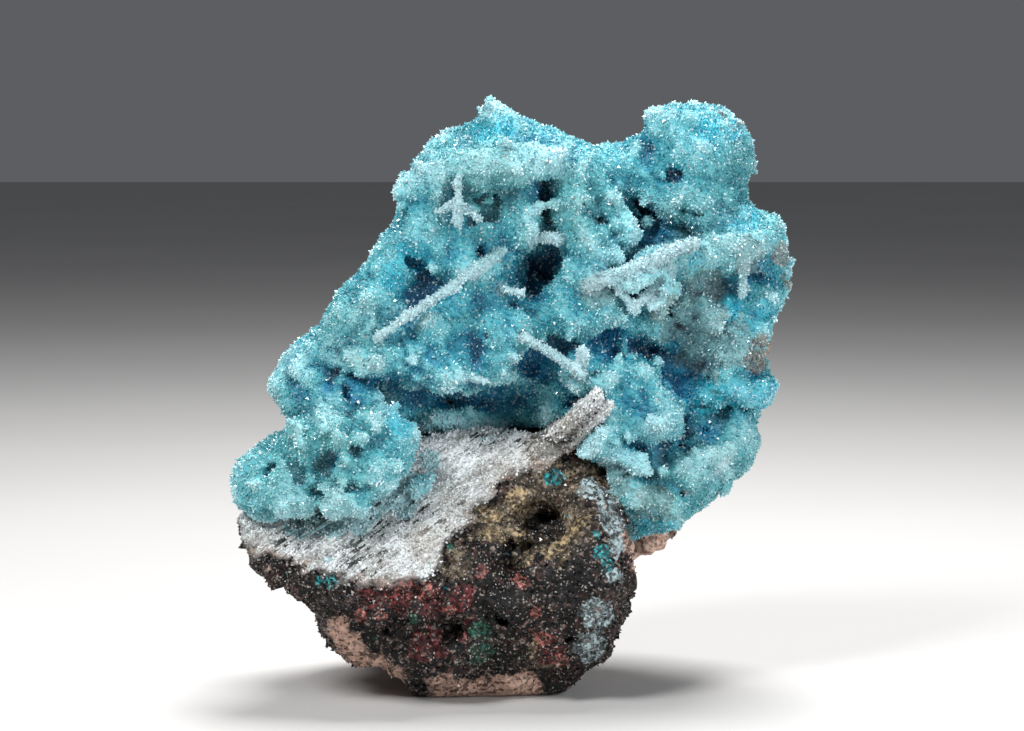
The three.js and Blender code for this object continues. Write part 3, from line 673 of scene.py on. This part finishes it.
class Material:
    """A small helper that adds nodes to a new material and links them."""

    def __init__(self, name):
        self.material = bpy.data.materials.new(name)
        self.material.use_nodes = True
        self.nodes = self.material.node_tree.nodes
        self.links = self.material.node_tree.links
        self.shader = self.nodes["Principled BSDF"]
        self.place = self.nodes.new("ShaderNodeTexCoord").outputs["Object"]

    def link(self, value, socket):
        if isinstance(value, bpy.types.NodeSocket):
            self.links.new(value, socket)
        else:
            socket.default_value = value

    def fill(self, node, inputs):
        """Puts a value or a link on each of the named inputs of a node."""
        for name, value in inputs.items():
            self.link(value, node.inputs[name])
        return node

    def node(self, kind, inputs):
        return self.fill(self.nodes.new("ShaderNode" + kind), inputs)

    def attribute(self, name):
        node = self.node("Attribute", {})
        node.attribute_name = name
        return node.outputs["Fac"]

    def noise(self, per_metre, detail=3.0, place=None):
        place = place or self.place
        node = self.node("TexNoise", {"Vector": place, "Scale": per_metre, "Detail": detail})
        return node.outputs["Fac"]

    def specks(self, per_metre, place=None):
        return self.node("TexVoronoi", {"Vector": place or self.place, "Scale": per_metre})

    def cell_values(self, per_metre):
        """Three random values for each of the small cells of a pattern."""
        colour = self.specks(per_metre).outputs["Color"]
        return self.node("SeparateColor", {"Color": colour}).outputs

    def math(self, kind, a, b):
        node = self.node("Math", {0: a, 1: b})
        node.operation = kind
        return node.outputs[0]

    def plus(self, a, b):
        return self.math("ADD", a, b)

    def minus(self, a, b):
        return self.math("SUBTRACT", a, b)

    def times(self, a, b):
        return self.math("MULTIPLY", a, b)

    def without(self, name, strength):
        """1 where the named attribute is 0, and less by this strength where it is 1."""
        return self.minus(1.0, self.times(self.attribute(name), strength))

    def between(self, value, low, high, most=1.0):
        """value carried from low..high to 0..most."""
        inputs = {"Value": value, "From Min": low, "From Max": high, "To Max": most}
        node = self.node("MapRange", inputs)
        node.interpolation_type = "SMOOTHSTEP"
        return node.outputs["Result"]

    def mix(self, share, a, b):
        node = self.node("Mix", {})
        node.data_type = "RGBA"
        a, b = [(*n, 1) if isinstance(n, tuple) else n for n in (a, b)]
        return self.fill(node, {"Factor": share, "A": a, "B": b}).outputs["Result"]

    def ramp(self, value, stops):
        node = self.node("ValToRGB", {"Fac": value})
        elements = node.color_ramp.elements
        while len(elements) < len(stops):
            elements.new(0.5)
        for element, (position, colour) in zip(elements, stops):
            element.position = position
            element.color = (*colour, 1)
        return node.outputs["Color"]

    def stain(self, name, per_metre):
        """Share of a stain inside the places marked on the mesh, with a ragged border."""
        ragged = self.times(self.minus(self.noise(per_metre, 5.0), 0.5), 2.2)
        return self.between(self.plus(self.attribute(name), ragged), 0.42, 0.60)

    def bump(self, height, strength, distance):
        """Normals for the shader, from a height pattern."""
        inputs = {"Height": height, "Strength": strength, "Distance": distance}
        return self.node("Bump", inputs).outputs["Normal"]


# Colours of the crust
DEEP_BLUE = (0.002, 0.06, 0.13)
SUGAR = (0.43, 0.67, 0.71)
# Painted shade: near-black blue in recesses up to pale sugar on open parts
CRUST_SHADE_RAMP = [
    (0.0, DEEP_BLUE),
    (0.24, (0.010, 0.19, 0.29)),
    (0.48, (0.044, 0.31, 0.375)),
    (0.80, (0.155, 0.475, 0.525)),
    (1.0, SUGAR),
]
# near-white for painted glints on some crust points
FROST_AND_GLINT = (0.8, 0.95, 0.98)
SATURATED = (0.005, 0.36, 0.48)
GREY_DUST = (0.17, 0.25, 0.24)
SEA_GREEN = (0.085, 0.29, 0.285)
# deep blue of painted shade in recesses
RECESS_SHADE_BLUE = (0.0, 0.15, 0.31)
STICK_GREY = (0.38, 0.47, 0.50)
RUST = (0.22, 0.15, 0.11)

# How exposed a place of the crust is, which paints shade into its recesses and paler light onto open
# parts: on flat crust, and how much the relief changes it
EXPOSED_FLAT = 0.51
FINE_RELIEF = 0.95
BROAD_RELIEF = 1.6
BROAD_RADIUS = 5.5
# painted light: the crust gets paler towards the back
PAINTED_LIGHT_BEHIND = 0.07
INNER_SHADE = -0.12  # how much darker the crust is than the points on it

# Colours of the dark rock in front and its stains
BLACK = (0.003, 0.003, 0.003)
DARK_RAMP = [
    (0.0, (0.002, 0.002, 0.002)),
    (0.46, (0.006, 0.005, 0.005)),
    (0.62, (0.020, 0.009, 0.008)),
    (0.76, (0.065, 0.028, 0.021)),
    (0.88, (0.15, 0.10, 0.075)),
    (1.0, (0.42, 0.36, 0.31)),
]
RED_GRAIN = (0.13, 0.035, 0.028)
PALE_GRAIN = (0.46, 0.38, 0.33)
BRIGHT_GRAIN = (0.50, 0.45, 0.41)
# painted glint on a few dark rock points
GLINT_ON_DARK = (0.66, 0.60, 0.56)
DARK_EARTH = (0.08, 0.062, 0.04)
PALE_EARTH = (0.27, 0.21, 0.14)
OCHRE = (0.50, 0.37, 0.20)
# black of the dark stains, also painted shadow in a cave
COAL_AND_CAVE_SHADE = (0.004, 0.004, 0.005)
RED = (0.17, 0.028, 0.028)
ROSE = (0.50, 0.17, 0.14)
GREEN = (0.05, 0.20, 0.135)
PINK = (0.62, 0.40, 0.31)
PALE_GREY = (0.42, 0.53, 0.55)
COPPER_BLUE = (0.04, 0.42, 0.46)

# Colours of the broken rock behind
BROKEN_RAMP = [
    (0.25, (0.055, 0.036, 0.028)),
    (0.48, (0.19, 0.115, 0.085)),
    (0.66, (0.34, 0.225, 0.17)),
    (0.88, (0.50, 0.40, 0.33)),
]
ROCK_RUST = (0.30, 0.13, 0.05)
CRACK_BROWN = (0.03, 0.02, 0.016)
CRACK_WANDER = 6.0  # how far the cracks stray from straight lines

# Colours of the ledge's coat
COAT_RAMP = [
    (0.32, (0.30, 0.30, 0.29)),
    (0.42, (0.50, 0.52, 0.51)),
    (0.52, (0.68, 0.71, 0.72)),
    (0.64, (0.88, 0.91, 0.93)),
]
COAT_SHADE = (0.05, 0.05, 0.05)
PIT_BLACK = (0.012, 0.016, 0.014)
SAND = (0.34, 0.29, 0.23)
TINT = (0.22, 0.56, 0.61)
DARK_TINT = (0.01, 0.05, 0.06)
PALE_RIM = (0.40, 0.31, 0.26)
DARK_RIM = (0.05, 0.038, 0.03)
# painted glint on a few coat points
GLINT_ON_PALE = (0.90, 0.93, 0.95)
DULL_ON_PALE = (0.07, 0.075, 0.075)

FLOOR_RAMP = [(0.3, (0.52, 0.51, 0.50)), (0.7, (0.55, 0.54, 0.53))]


def crust_colour(made, lift):
    """The crust's colour from how exposed each place is, a painted shade that is darker in recesses
    and paler on open parts; lift makes it paler.
    """
    cloud = made.times(made.minus(made.noise(180), 0.5), 0.5)
    level = made.plus(made.plus(made.attribute("exposed"), lift), cloud)
    colour = made.ramp(level, CRUST_SHADE_RAMP)
    greener = made.mix(0.6, colour, SEA_GREEN)
    colour = made.mix(made.times(made.attribute("greenish"), 0.75), colour, greener)
    colour = made.mix(made.times(made.stain("turquoise", 240), 0.55), colour, SATURATED)
    colour = made.mix(made.times(made.stain("dusty", 330), 0.55), colour, GREY_DUST)
    # frosting, and painted highlight where it shows only on open parts
    colour = made.mix(made.times(made.attribute("frosted"), 0.36), colour, SUGAR)
    # painted shade: deep blue in recesses
    colour = made.mix(made.times(made.attribute("deep"), 0.6), colour, RECESS_SHADE_BLUE)
    colour = made.mix(made.times(made.attribute("stick"), 0.45), colour, STICK_GREY)
    return made.mix(made.times(made.stain("rusty", 600), 0.6), colour, RUST)


def crust_material():
    made = Material("chrysocolla_crust")
    grain = made.plus(made.specks(1900).outputs["Distance"], made.noise(2600, 2.0))
    made.fill(made.shader, {
        "Base Color": crust_colour(made, INNER_SHADE),
        "Roughness": 0.55,
        "Normal": made.bump(grain, 0.7, 0.3 * MM),
    })
    return made.material


def druse_material():
    """Crust points: some whitened as painted glints, some dark, the rest as the crust under them."""
    made = Material("crust_quartz_points")
    colour = crust_colour(made, 0.0)
    chance = made.attribute("chance")
    # painted glints: some points whitened
    frosted = made.mix(0.5, colour, FROST_AND_GLINT)
    colour = made.mix(made.between(chance, 0.7, 1.0), colour, frosted)
    colour = made.mix(made.between(chance, 0.3, 0.05, 0.5), colour, DEEP_BLUE)
    made.fill(made.shader, {
        "Base Color": colour,
        "Roughness": made.plus(made.times(chance, 0.25), 0.12),
        "Coat Weight": 0.5,
        "Coat Roughness": 0.08,
    })
    return made.material


def rock_colour(made):
    """Dark sparkling rock with stains in front, brown-pink broken rock behind."""
    speck = made.cell_values(1500)
    patch = made.noise(150, 5.0)
    level = made.plus(made.times(speck[0], 0.55), made.times(patch, 0.5))
    pale_grain = made.between(speck[1], 0.80, 0.84, 0.7)
    grain_colour = made.mix(speck[0], RED_GRAIN, PALE_GRAIN)
    dark = made.mix(pale_grain, made.ramp(level, DARK_RAMP), grain_colour)
    colour = made.mix(made.attribute("back"), dark, broken_colour(made, speck[1], patch))
    colour = stained_colour(made, colour, speck[2])
    gap = made.between(made.noise(1700, 3.0), 0.56, 0.40, 0.85)
    for name, strength in (("back", 1.0), ("earth", 0.6), ("grey", 0.6), ("pink", 0.8)):
        gap = made.times(gap, made.without(name, strength))
    colour = made.mix(gap, colour, BLACK)
    shade = made.between(made.cell_values(2300)[0], 1.0, 0.1, 0.8)
    for name in ("back", "pink"):
        shade = made.times(shade, made.without(name, 0.75))
    return made.mix(shade, colour, BLACK), speck[2]


def stained_colour(made, colour, speck):
    """The dark rock's colour with its stains, which take less on some grains."""
    streak = groove_streak(made, 420)
    earth = made.mix(made.between(made.noise(420, 4.0), 0.42, 0.58), DARK_EARTH, PALE_EARTH)
    stains = (
        ("earth", earth, 300),
        ("ochre", made.mix(made.between(streak, 0.42, 0.56), earth, OCHRE), 260),
        # black: dark stains, and painted shadow in the cave
        ("black", COAL_AND_CAVE_SHADE, 420),
        ("red", RED, 420),
        ("rose", ROSE, 520),
        ("green", GREEN, 420),
        ("pink", PINK, 260),
        ("grey", PALE_GREY, 480),
        ("blue", COPPER_BLUE, 420),
    )
    taken = made.plus(made.between(speck, 0.28, 0.42, 0.75), 0.25)
    for name, shade, per_metre in stains:
        colour = made.mix(made.times(made.stain(name, per_metre), taken), colour, shade)
    return colour


def broken_colour(made, speck, patch):
    """Rock behind: brown-pink grains with rusty patches and a few dark cracks."""
    level = made.plus(made.times(speck, 0.22), made.times(patch, 0.78))
    plain = made.ramp(level, BROKEN_RAMP)
    rusty = made.mix(0.5, plain, ROCK_RUST)
    rusty = made.mix(made.between(made.noise(55, 4.0), 0.52, 0.68), plain, rusty)
    shift = made.node("TexNoise", {"Vector": made.place, "Scale": 120}).outputs["Color"]
    bent = made.node("VectorMath", {})
    bent.operation = "MULTIPLY_ADD"
    made.fill(bent, {0: shift, 1: (CRACK_WANDER * MM,) * 3, 2: made.place})
    crack = made.specks(62, bent.outputs["Vector"])
    crack.feature = "DISTANCE_TO_EDGE"
    open_part = made.between(made.noise(40), 0.4, 0.6)
    line = made.times(made.between(crack.outputs["Distance"], 0.035, 0.0), open_part)
    return made.mix(line, rusty, CRACK_BROWN)


def groove_streak(made, per_metre):
    """Noise drawn out along the ledge's grooves."""
    combined = made.node("CombineXYZ", {})
    for axis, stretch, socket in zip(groove_axes(), STREAK_STRETCH, combined.inputs):
        way = tuple(float(n) * stretch for n in axis)
        row = made.node("VectorMath", {0: made.place, 1: way})
        row.operation = "DOT_PRODUCT"
        made.link(row.outputs["Value"], socket)
    return made.noise(per_metre, 3.0, combined.outputs["Vector"])


def coat_colour(made):
    """The ledge's greyish-white quartz coat, with black specks along its grooves."""
    streak = groove_streak(made, 1000)
    blot = made.noise(95, 4.0)
    pale = made.ramp(made.plus(made.times(streak, 0.6), made.times(blot, 0.4)), COAT_RAMP)
    crowded = made.plus(made.between(made.noise(130, 2.0), 0.42, 0.62, 0.6), 0.4)
    sunk = made.minus(groove_streak(made, 1900), made.times(made.attribute("pitted"), 0.10))
    speckled = made.times(made.between(sunk, 0.44, 0.38), crowded)
    pale = made.mix(speckled, pale, PIT_BLACK)
    sandy = made.times(made.attribute("sandy"), made.between(blot, 0.3, 0.6))
    pale = made.mix(made.times(sandy, 0.5), pale, SAND)
    tint = made.mix(speckled, TINT, DARK_TINT)
    pale = made.mix(made.times(made.stain("tinted", 240), 0.6), pale, tint)
    rim = made.mix(made.between(made.noise(280, 4.0), 0.4, 0.6), PALE_RIM, DARK_RIM)
    return made.mix(made.attribute("rim"), pale, rim), streak


def rock_material():
    made = Material("host_rock")
    dark, speck = rock_colour(made)
    pale, streak = coat_colour(made)
    coat = made.attribute("coat")
    fine = made.cell_values(4200)
    pale = made.mix(made.between(fine[0], 0.5, 0.1, 0.5), pale, COAT_SHADE)
    dark = made.mix(made.between(fine[1], 0.92, 0.96, 0.45), dark, BRIGHT_GRAIN)
    grooves = made.times(made.times(coat, streak), 2.0)
    made.fill(made.shader, {
        "Base Color": made.mix(coat, dark, pale),
        "Roughness": made.plus(made.between(speck, 0.1, 0.9, 0.35), 0.38),
        "Specular IOR Level": 0.25,
        "Normal": made.bump(made.plus(made.noise(1500, 3.0), grooves), 0.8, 0.4 * MM),
    })
    return made.material


def rock_point_material():
    """Rock points: a few whitened as painted glints, many dull, the rest as the rock or the coat
    under them.
    """
    made = Material("rock_quartz_points")
    chance = made.attribute("chance")
    # painted glints: a few points whitened
    glint = made.between(chance, 0.93, 0.96, 0.55)
    dull = made.between(chance, 0.40, 0.15, 0.75)
    dark, _ = rock_colour(made)
    dark = made.mix(dull, made.mix(glint, dark, GLINT_ON_DARK), BLACK)
    pale, _ = coat_colour(made)
    # painted glints on the coat's points
    pale = made.mix(made.between(chance, 0.72, 0.86, 0.8), pale, GLINT_ON_PALE)
    pale = made.mix(made.times(dull, 0.6), pale, DULL_ON_PALE)
    made.fill(made.shader, {
        "Base Color": made.mix(made.attribute("coat"), dark, pale),
        "Roughness": 0.22,
        "Specular IOR Level": 0.4,
        "Coat Weight": 0.15,
        "Coat Roughness": 0.1,
    })
    return made.material


def floor_material():
    made = Material("floor")
    colour = made.ramp(made.noise(6, 2.0), FLOOR_RAMP)
    made.fill(made.shader, {"Base Color": colour, "Roughness": 0.8})
    return made.material


# The specimen


def crust_colours(solid, points):
    """Numbers from 0 to 1 that say where each of the crust's colours lies."""
    fine = solid.sample(solid.filled_share(CRUMB_RADIUS), points)
    broad = solid.sample(solid.filled_share(BROAD_RADIUS), points)
    # painted shade: darker where much solid is round a place, paler where little is
    exposed = EXPOSED_FLAT + FINE_RELIEF * (0.5 - fine) + BROAD_RELIEF * (0.5 - broad)
    # painted light: paler towards the back
    exposed = exposed + PAINTED_LIGHT_BEHIND * fade(points[:, 1], -14, 8)
    front = fade(points[:, 1], 1, -4)
    return {
        "exposed": clipped(exposed),
        "turquoise": spots(points, TURQUOISE) * front,
        # frosting, shown only on open parts, so partly a painted highlight
        "frosted": spots(points, FROSTED) * fade(exposed, 0.35, 0.75),
        "dusty": spots(points, DUSTY) * front,
        "greenish": spots(points, GREENISH),
        # painted shade: deep blue in the listed recesses where the crust is least open
        "deep": spots(points, RECESS_SHADE_SPOTS) * fade(exposed, 0.72, 0.47),
        "stick": fade(gap_to_rods(points, RODS[:-1]), 0.5, 0.2),
        "rusty": spots(points, RUSTY) * front,
    }


def rock_colours(points):
    """Numbers from 0 to 1 that say where each of the rock's colours lies."""
    height = ledge_height(points)
    front = fade(points[:, 1], 2, -3)
    past = past_ledge_edge(points)
    top = fade(height, -1.6, -0.7) * fade(height, 2.5, 1.5)
    coat = top * fade(points[:, 2], 44, 42) * front * fade(past, 0.5, -0.5)
    coat = np.maximum(coat, fade(gap_to_rods(points, SPIKES), 0.7, 0.3))
    colours = {label: spots(points, places) * front for label, places in ROCK_PLACES.items()}
    back_pink = spots(points, BACK_PINK) * fade(points[:, 1], 20, 12)
    colours["pink"] = np.maximum(colours["pink"], back_pink)
    colours["coat"] = coat
    colours["rim"] = fade(np.abs(past + 0.2), 1.1, 0) * top * front
    colours["back"] = 1 - front
    return colours


def knobs(solid, count, seed):
    """Short stubby rods that grow outwards from the front, as (from, to, radius)."""
    rng = np.random.default_rng(seed)
    on_surface, points = solid.near(0.5 * VOXEL)
    slope = np.stack(np.gradient(solid.values), axis=-1)[on_surface]
    steepness = np.maximum(np.linalg.norm(slope, axis=1), SMALLEST_SLOPE)
    ways = slope / steepness[:, None]
    exposed = clipped(KNOB_FILLING - solid.sample(solid.filled_share(KNOB_SIGHT), points))
    weight = exposed**2 * fade(ways[:, 1], 0.4, -0.6) * fade(points[:, 1], 7, 3)
    weight *= fade(gap_to_rods(points, RODS), 2, 3)
    picked = rng.choice(len(points), count, replace=False, p=weight / weight.sum())
    for seat, way in zip(points[picked], ways[picked]):
        way = way + rng.normal(0, KNOB_LEAN, 3) + KNOB_PULL
        way /= np.linalg.norm(way)
        radius = rng.uniform(*KNOB_RADIUS)
        yield seat - way, seat + way * rng.uniform(*KNOB_LENGTH), radius


def rock_relief(points):
    """Height of the rock's bumps and ribs, and of the ledge's grooves and its broken edge."""
    height = ledge_height(points)
    in_front = fade(points[:, 1], 4, 1)
    past = clipped(past_ledge_edge(points))
    on_ledge = fade(height, -1.3, -0.5) * in_front * (1 - past)
    plain = bump_height(points, ROCK_BUMPS, 31) + ROCK_WAVES[1] * waves(points, ROCK_WAVES[0], 33)
    grooves = GROOVE_HEIGHT * waves(grooved(points, GROOVE_LENGTHS), 1.0, 41)
    grooves = grooves + LEDGE_GRAIN[1] * waves(points, LEDGE_GRAIN[0], 43)
    ribs = RIB_HEIGHT * waves(grooved(points, RIB_LENGTHS), 1.0, 44)
    broken_off = past * fade(height, -4, -2) * in_front
    relief = ROCK_RELIEF * (plain * (1 - on_ledge) + grooves * on_ledge)
    return relief + ribs * spots(points, ROCK_PLACES["earth"]) - LEDGE_STEP * broken_off


def make_crust(material):
    solid = Solid(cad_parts["chrysocolla"], CRUST_SMOOTHING)
    solid.values += CRUST_THINNING
    for dent in DENTS:
        solid.cut_dent(*dent)
    for fold in FOLDS:
        solid.add_fold(*fold)
    for hollow in HOLLOWS:
        solid.cut_hollow(*hollow)
    close, points = solid.near(RELIEF_REACH)
    height = bump_height(points, CRUST_BUMPS, 3) + CRUST_WAVES[1] * waves(points, CRUST_WAVES[0], 8)
    folds = [(*ends, radius) for places, radius in FOLDS for ends in itertools.pairwise(places)]
    calm = fade(gap_to_rods(points, RODS), 0, CALM_REACH)
    calm = calm * (FOLD_CALM + (1 - FOLD_CALM) * fade(gap_to_rods(points, folds), 0, CALM_REACH))
    solid.values[close] -= CRUST_RELIEF * height * calm
    for rod in [*RODS, *knobs(solid, KNOBS, 14)]:
        solid.add_rod(*rod)
    close, points = solid.near(GRAIN_REACH)
    solid.values[close] -= CRUST_GRAIN[1] * waves(points, CRUST_GRAIN[0], 21)
    solid.drop_crumbs()
    points, faces = without_strays(*solid.surface())
    faces = outward(points, faces)
    colours = crust_colours(solid, points)
    crust = make_mesh("crust", points, faces, colours, smooth=True)
    crust.data.materials.append(material)
    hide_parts("chrysocolla")
    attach(crust, "root")
    return points, faces, colours


def make_rock(material):
    solid = Solid(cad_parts["matrix"], ROCK_SMOOTHING)
    for hollow in ROCK_HOLLOWS:
        solid.cut_hollow(*hollow)
    close, points = solid.near(RELIEF_REACH)
    solid.values[close] -= rock_relief(points) * fade(points[:, 2], 0, FOOT_REACH)
    for spike in SPIKES:
        solid.add_rod(*spike)
    solid.drop_crumbs()
    points, faces = without_strays(*solid.surface())
    points[:, 2] = np.maximum(points[:, 2], 0)
    faces = outward(points, faces)
    colours = rock_colours(points)
    rock = make_mesh("rock", points, faces, colours, smooth=True)
    rock.data.materials.append(material)
    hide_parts("matrix")
    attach(rock, "root")
    return points, faces, colours


def scatter(points, faces, colours, weight, count, seed):
    """Seats for quartz points, picked by face area and weight."""
    middle, normal, area = face_frames(points, faces)
    chance = area * weight(middle, normal)
    rng = np.random.default_rng(seed)
    picked = rng.choice(len(faces), count, p=chance / chance.sum())
    first, second = rng.random((2, count, 1))
    corners = points[faces[picked]]
    bottom = corners[:, 0] * (1 - first) + corners[:, 1] * first
    top = corners[:, 3] * (1 - first) + corners[:, 2] * first
    seats = bottom * (1 - second) + top * second
    seat_colours = {label: values[faces[picked, 0]] for label, values in colours.items()}
    return seats, normal[picked], seat_colours


def dress(label, seats, normals, colours, material, slot, seed):
    """Makes the quartz points in several pieces, from left to right."""
    order = np.argsort(seats[:, 0])
    pieces = math.ceil(len(order) / POINTS_PER_PIECE)
    for n, share in enumerate(np.array_split(order, pieces)):
        some = {name: values[share] for name, values in colours.items()}
        make_points(f"{label}_{n + 1}", seats[share], normals[share], some, material, slot, seed + n)


def crust_weight(middle, normal):
    """Points stand thick on what the viewer can see, and thinner behind."""
    facing = fade(normal[:, 1], 0.35, -0.25) * fade(middle[:, 1], 9, 3)
    return SPARSE + (1 - SPARSE) * facing


def rock_weight(middle, normal):
    """Points stand thickest on the ledge, and hardly any behind."""
    ledge = fade(ledge_height(middle), -1.4, -0.6) * fade(middle[:, 1], 6, 3)
    front = fade(normal[:, 1], 0.2, -0.3) * fade(middle[:, 1], 3, -2)
    everywhere, in_front, on_ledge = ROCK_WEIGHTS
    weight = everywhere + in_front * front + on_ledge * ledge
    return weight * fade(middle[:, 2], 0.8, 1.8)


# Stage


def make_floor():
    bpy.ops.mesh.primitive_plane_add(size=FLOOR_SIZE, location=(0, 0, 0))
    floor = bpy.context.object
    floor.name = "floor"
    floor.data.materials.append(floor_material())


def make_light(name, place, size, watts, colour):
    data = bpy.data.lights.new(name, "AREA")
    data.size = size
    data.energy = watts
    data.color = colour
    light = bpy.data.objects.new(name, data)
    light.location = place
    light.rotation_euler = (Vector(LIT_PLACE) - Vector(place)).to_track_quat("-Z", "Y").to_euler()
    bpy.context.scene.collection.objects.link(light)


def make_lights():
    for light in LIGHTS:
        make_light(*light)
    world = bpy.data.worlds.new("studio")
    world.use_nodes = True
    sky = world.node_tree.nodes["Background"].inputs
    sky["Color"].default_value = (*SKY_COLOUR, 1)
    sky["Strength"].default_value = SKY_STRENGTH
    bpy.context.scene.world = world
    bpy.context.scene.view_settings.view_transform = "Standard"


def make_camera():
    """Looks along +Y from a little above, so that a pixel at the specimen covers 0.15 mm."""
    data = bpy.data.cameras.new("camera")
    data.lens = LENS
    data.sensor_width = SENSOR
    tilt = math.radians(VIEW_ELEVATION)
    back = Vector((0, -math.cos(tilt), math.sin(tilt)))
    up = Vector((0, math.sin(tilt), math.cos(tilt)))
    camera = bpy.data.objects.new("camera", data)
    camera.location = (Vector(AIM) + back * VIEW_DISTANCE + up * VIEW_RISE) * MM
    camera.rotation_mode = "QUATERNION"
    camera.rotation_quaternion = (-back).to_track_quat("-Z", "Y")
    data.clip_start = 0.01
    data.clip_end = 20.0
    bpy.context.scene.collection.objects.link(camera)
    bpy.context.scene.camera = camera


make_camera()
make_lights()
make_floor()
crust = make_crust(crust_material())
crust_seats = scatter(*crust, crust_weight, CRUST_POINTS, 5)
dress("crust_druse", *crust_seats, druse_material(), "quartz_druse", 50)
rock = make_rock(rock_material())
rock_seats = scatter(*rock, rock_weight, ROCK_POINTS, 6)
dress("rock_druse", *rock_seats, rock_point_material(), "quartz_druse", 70)
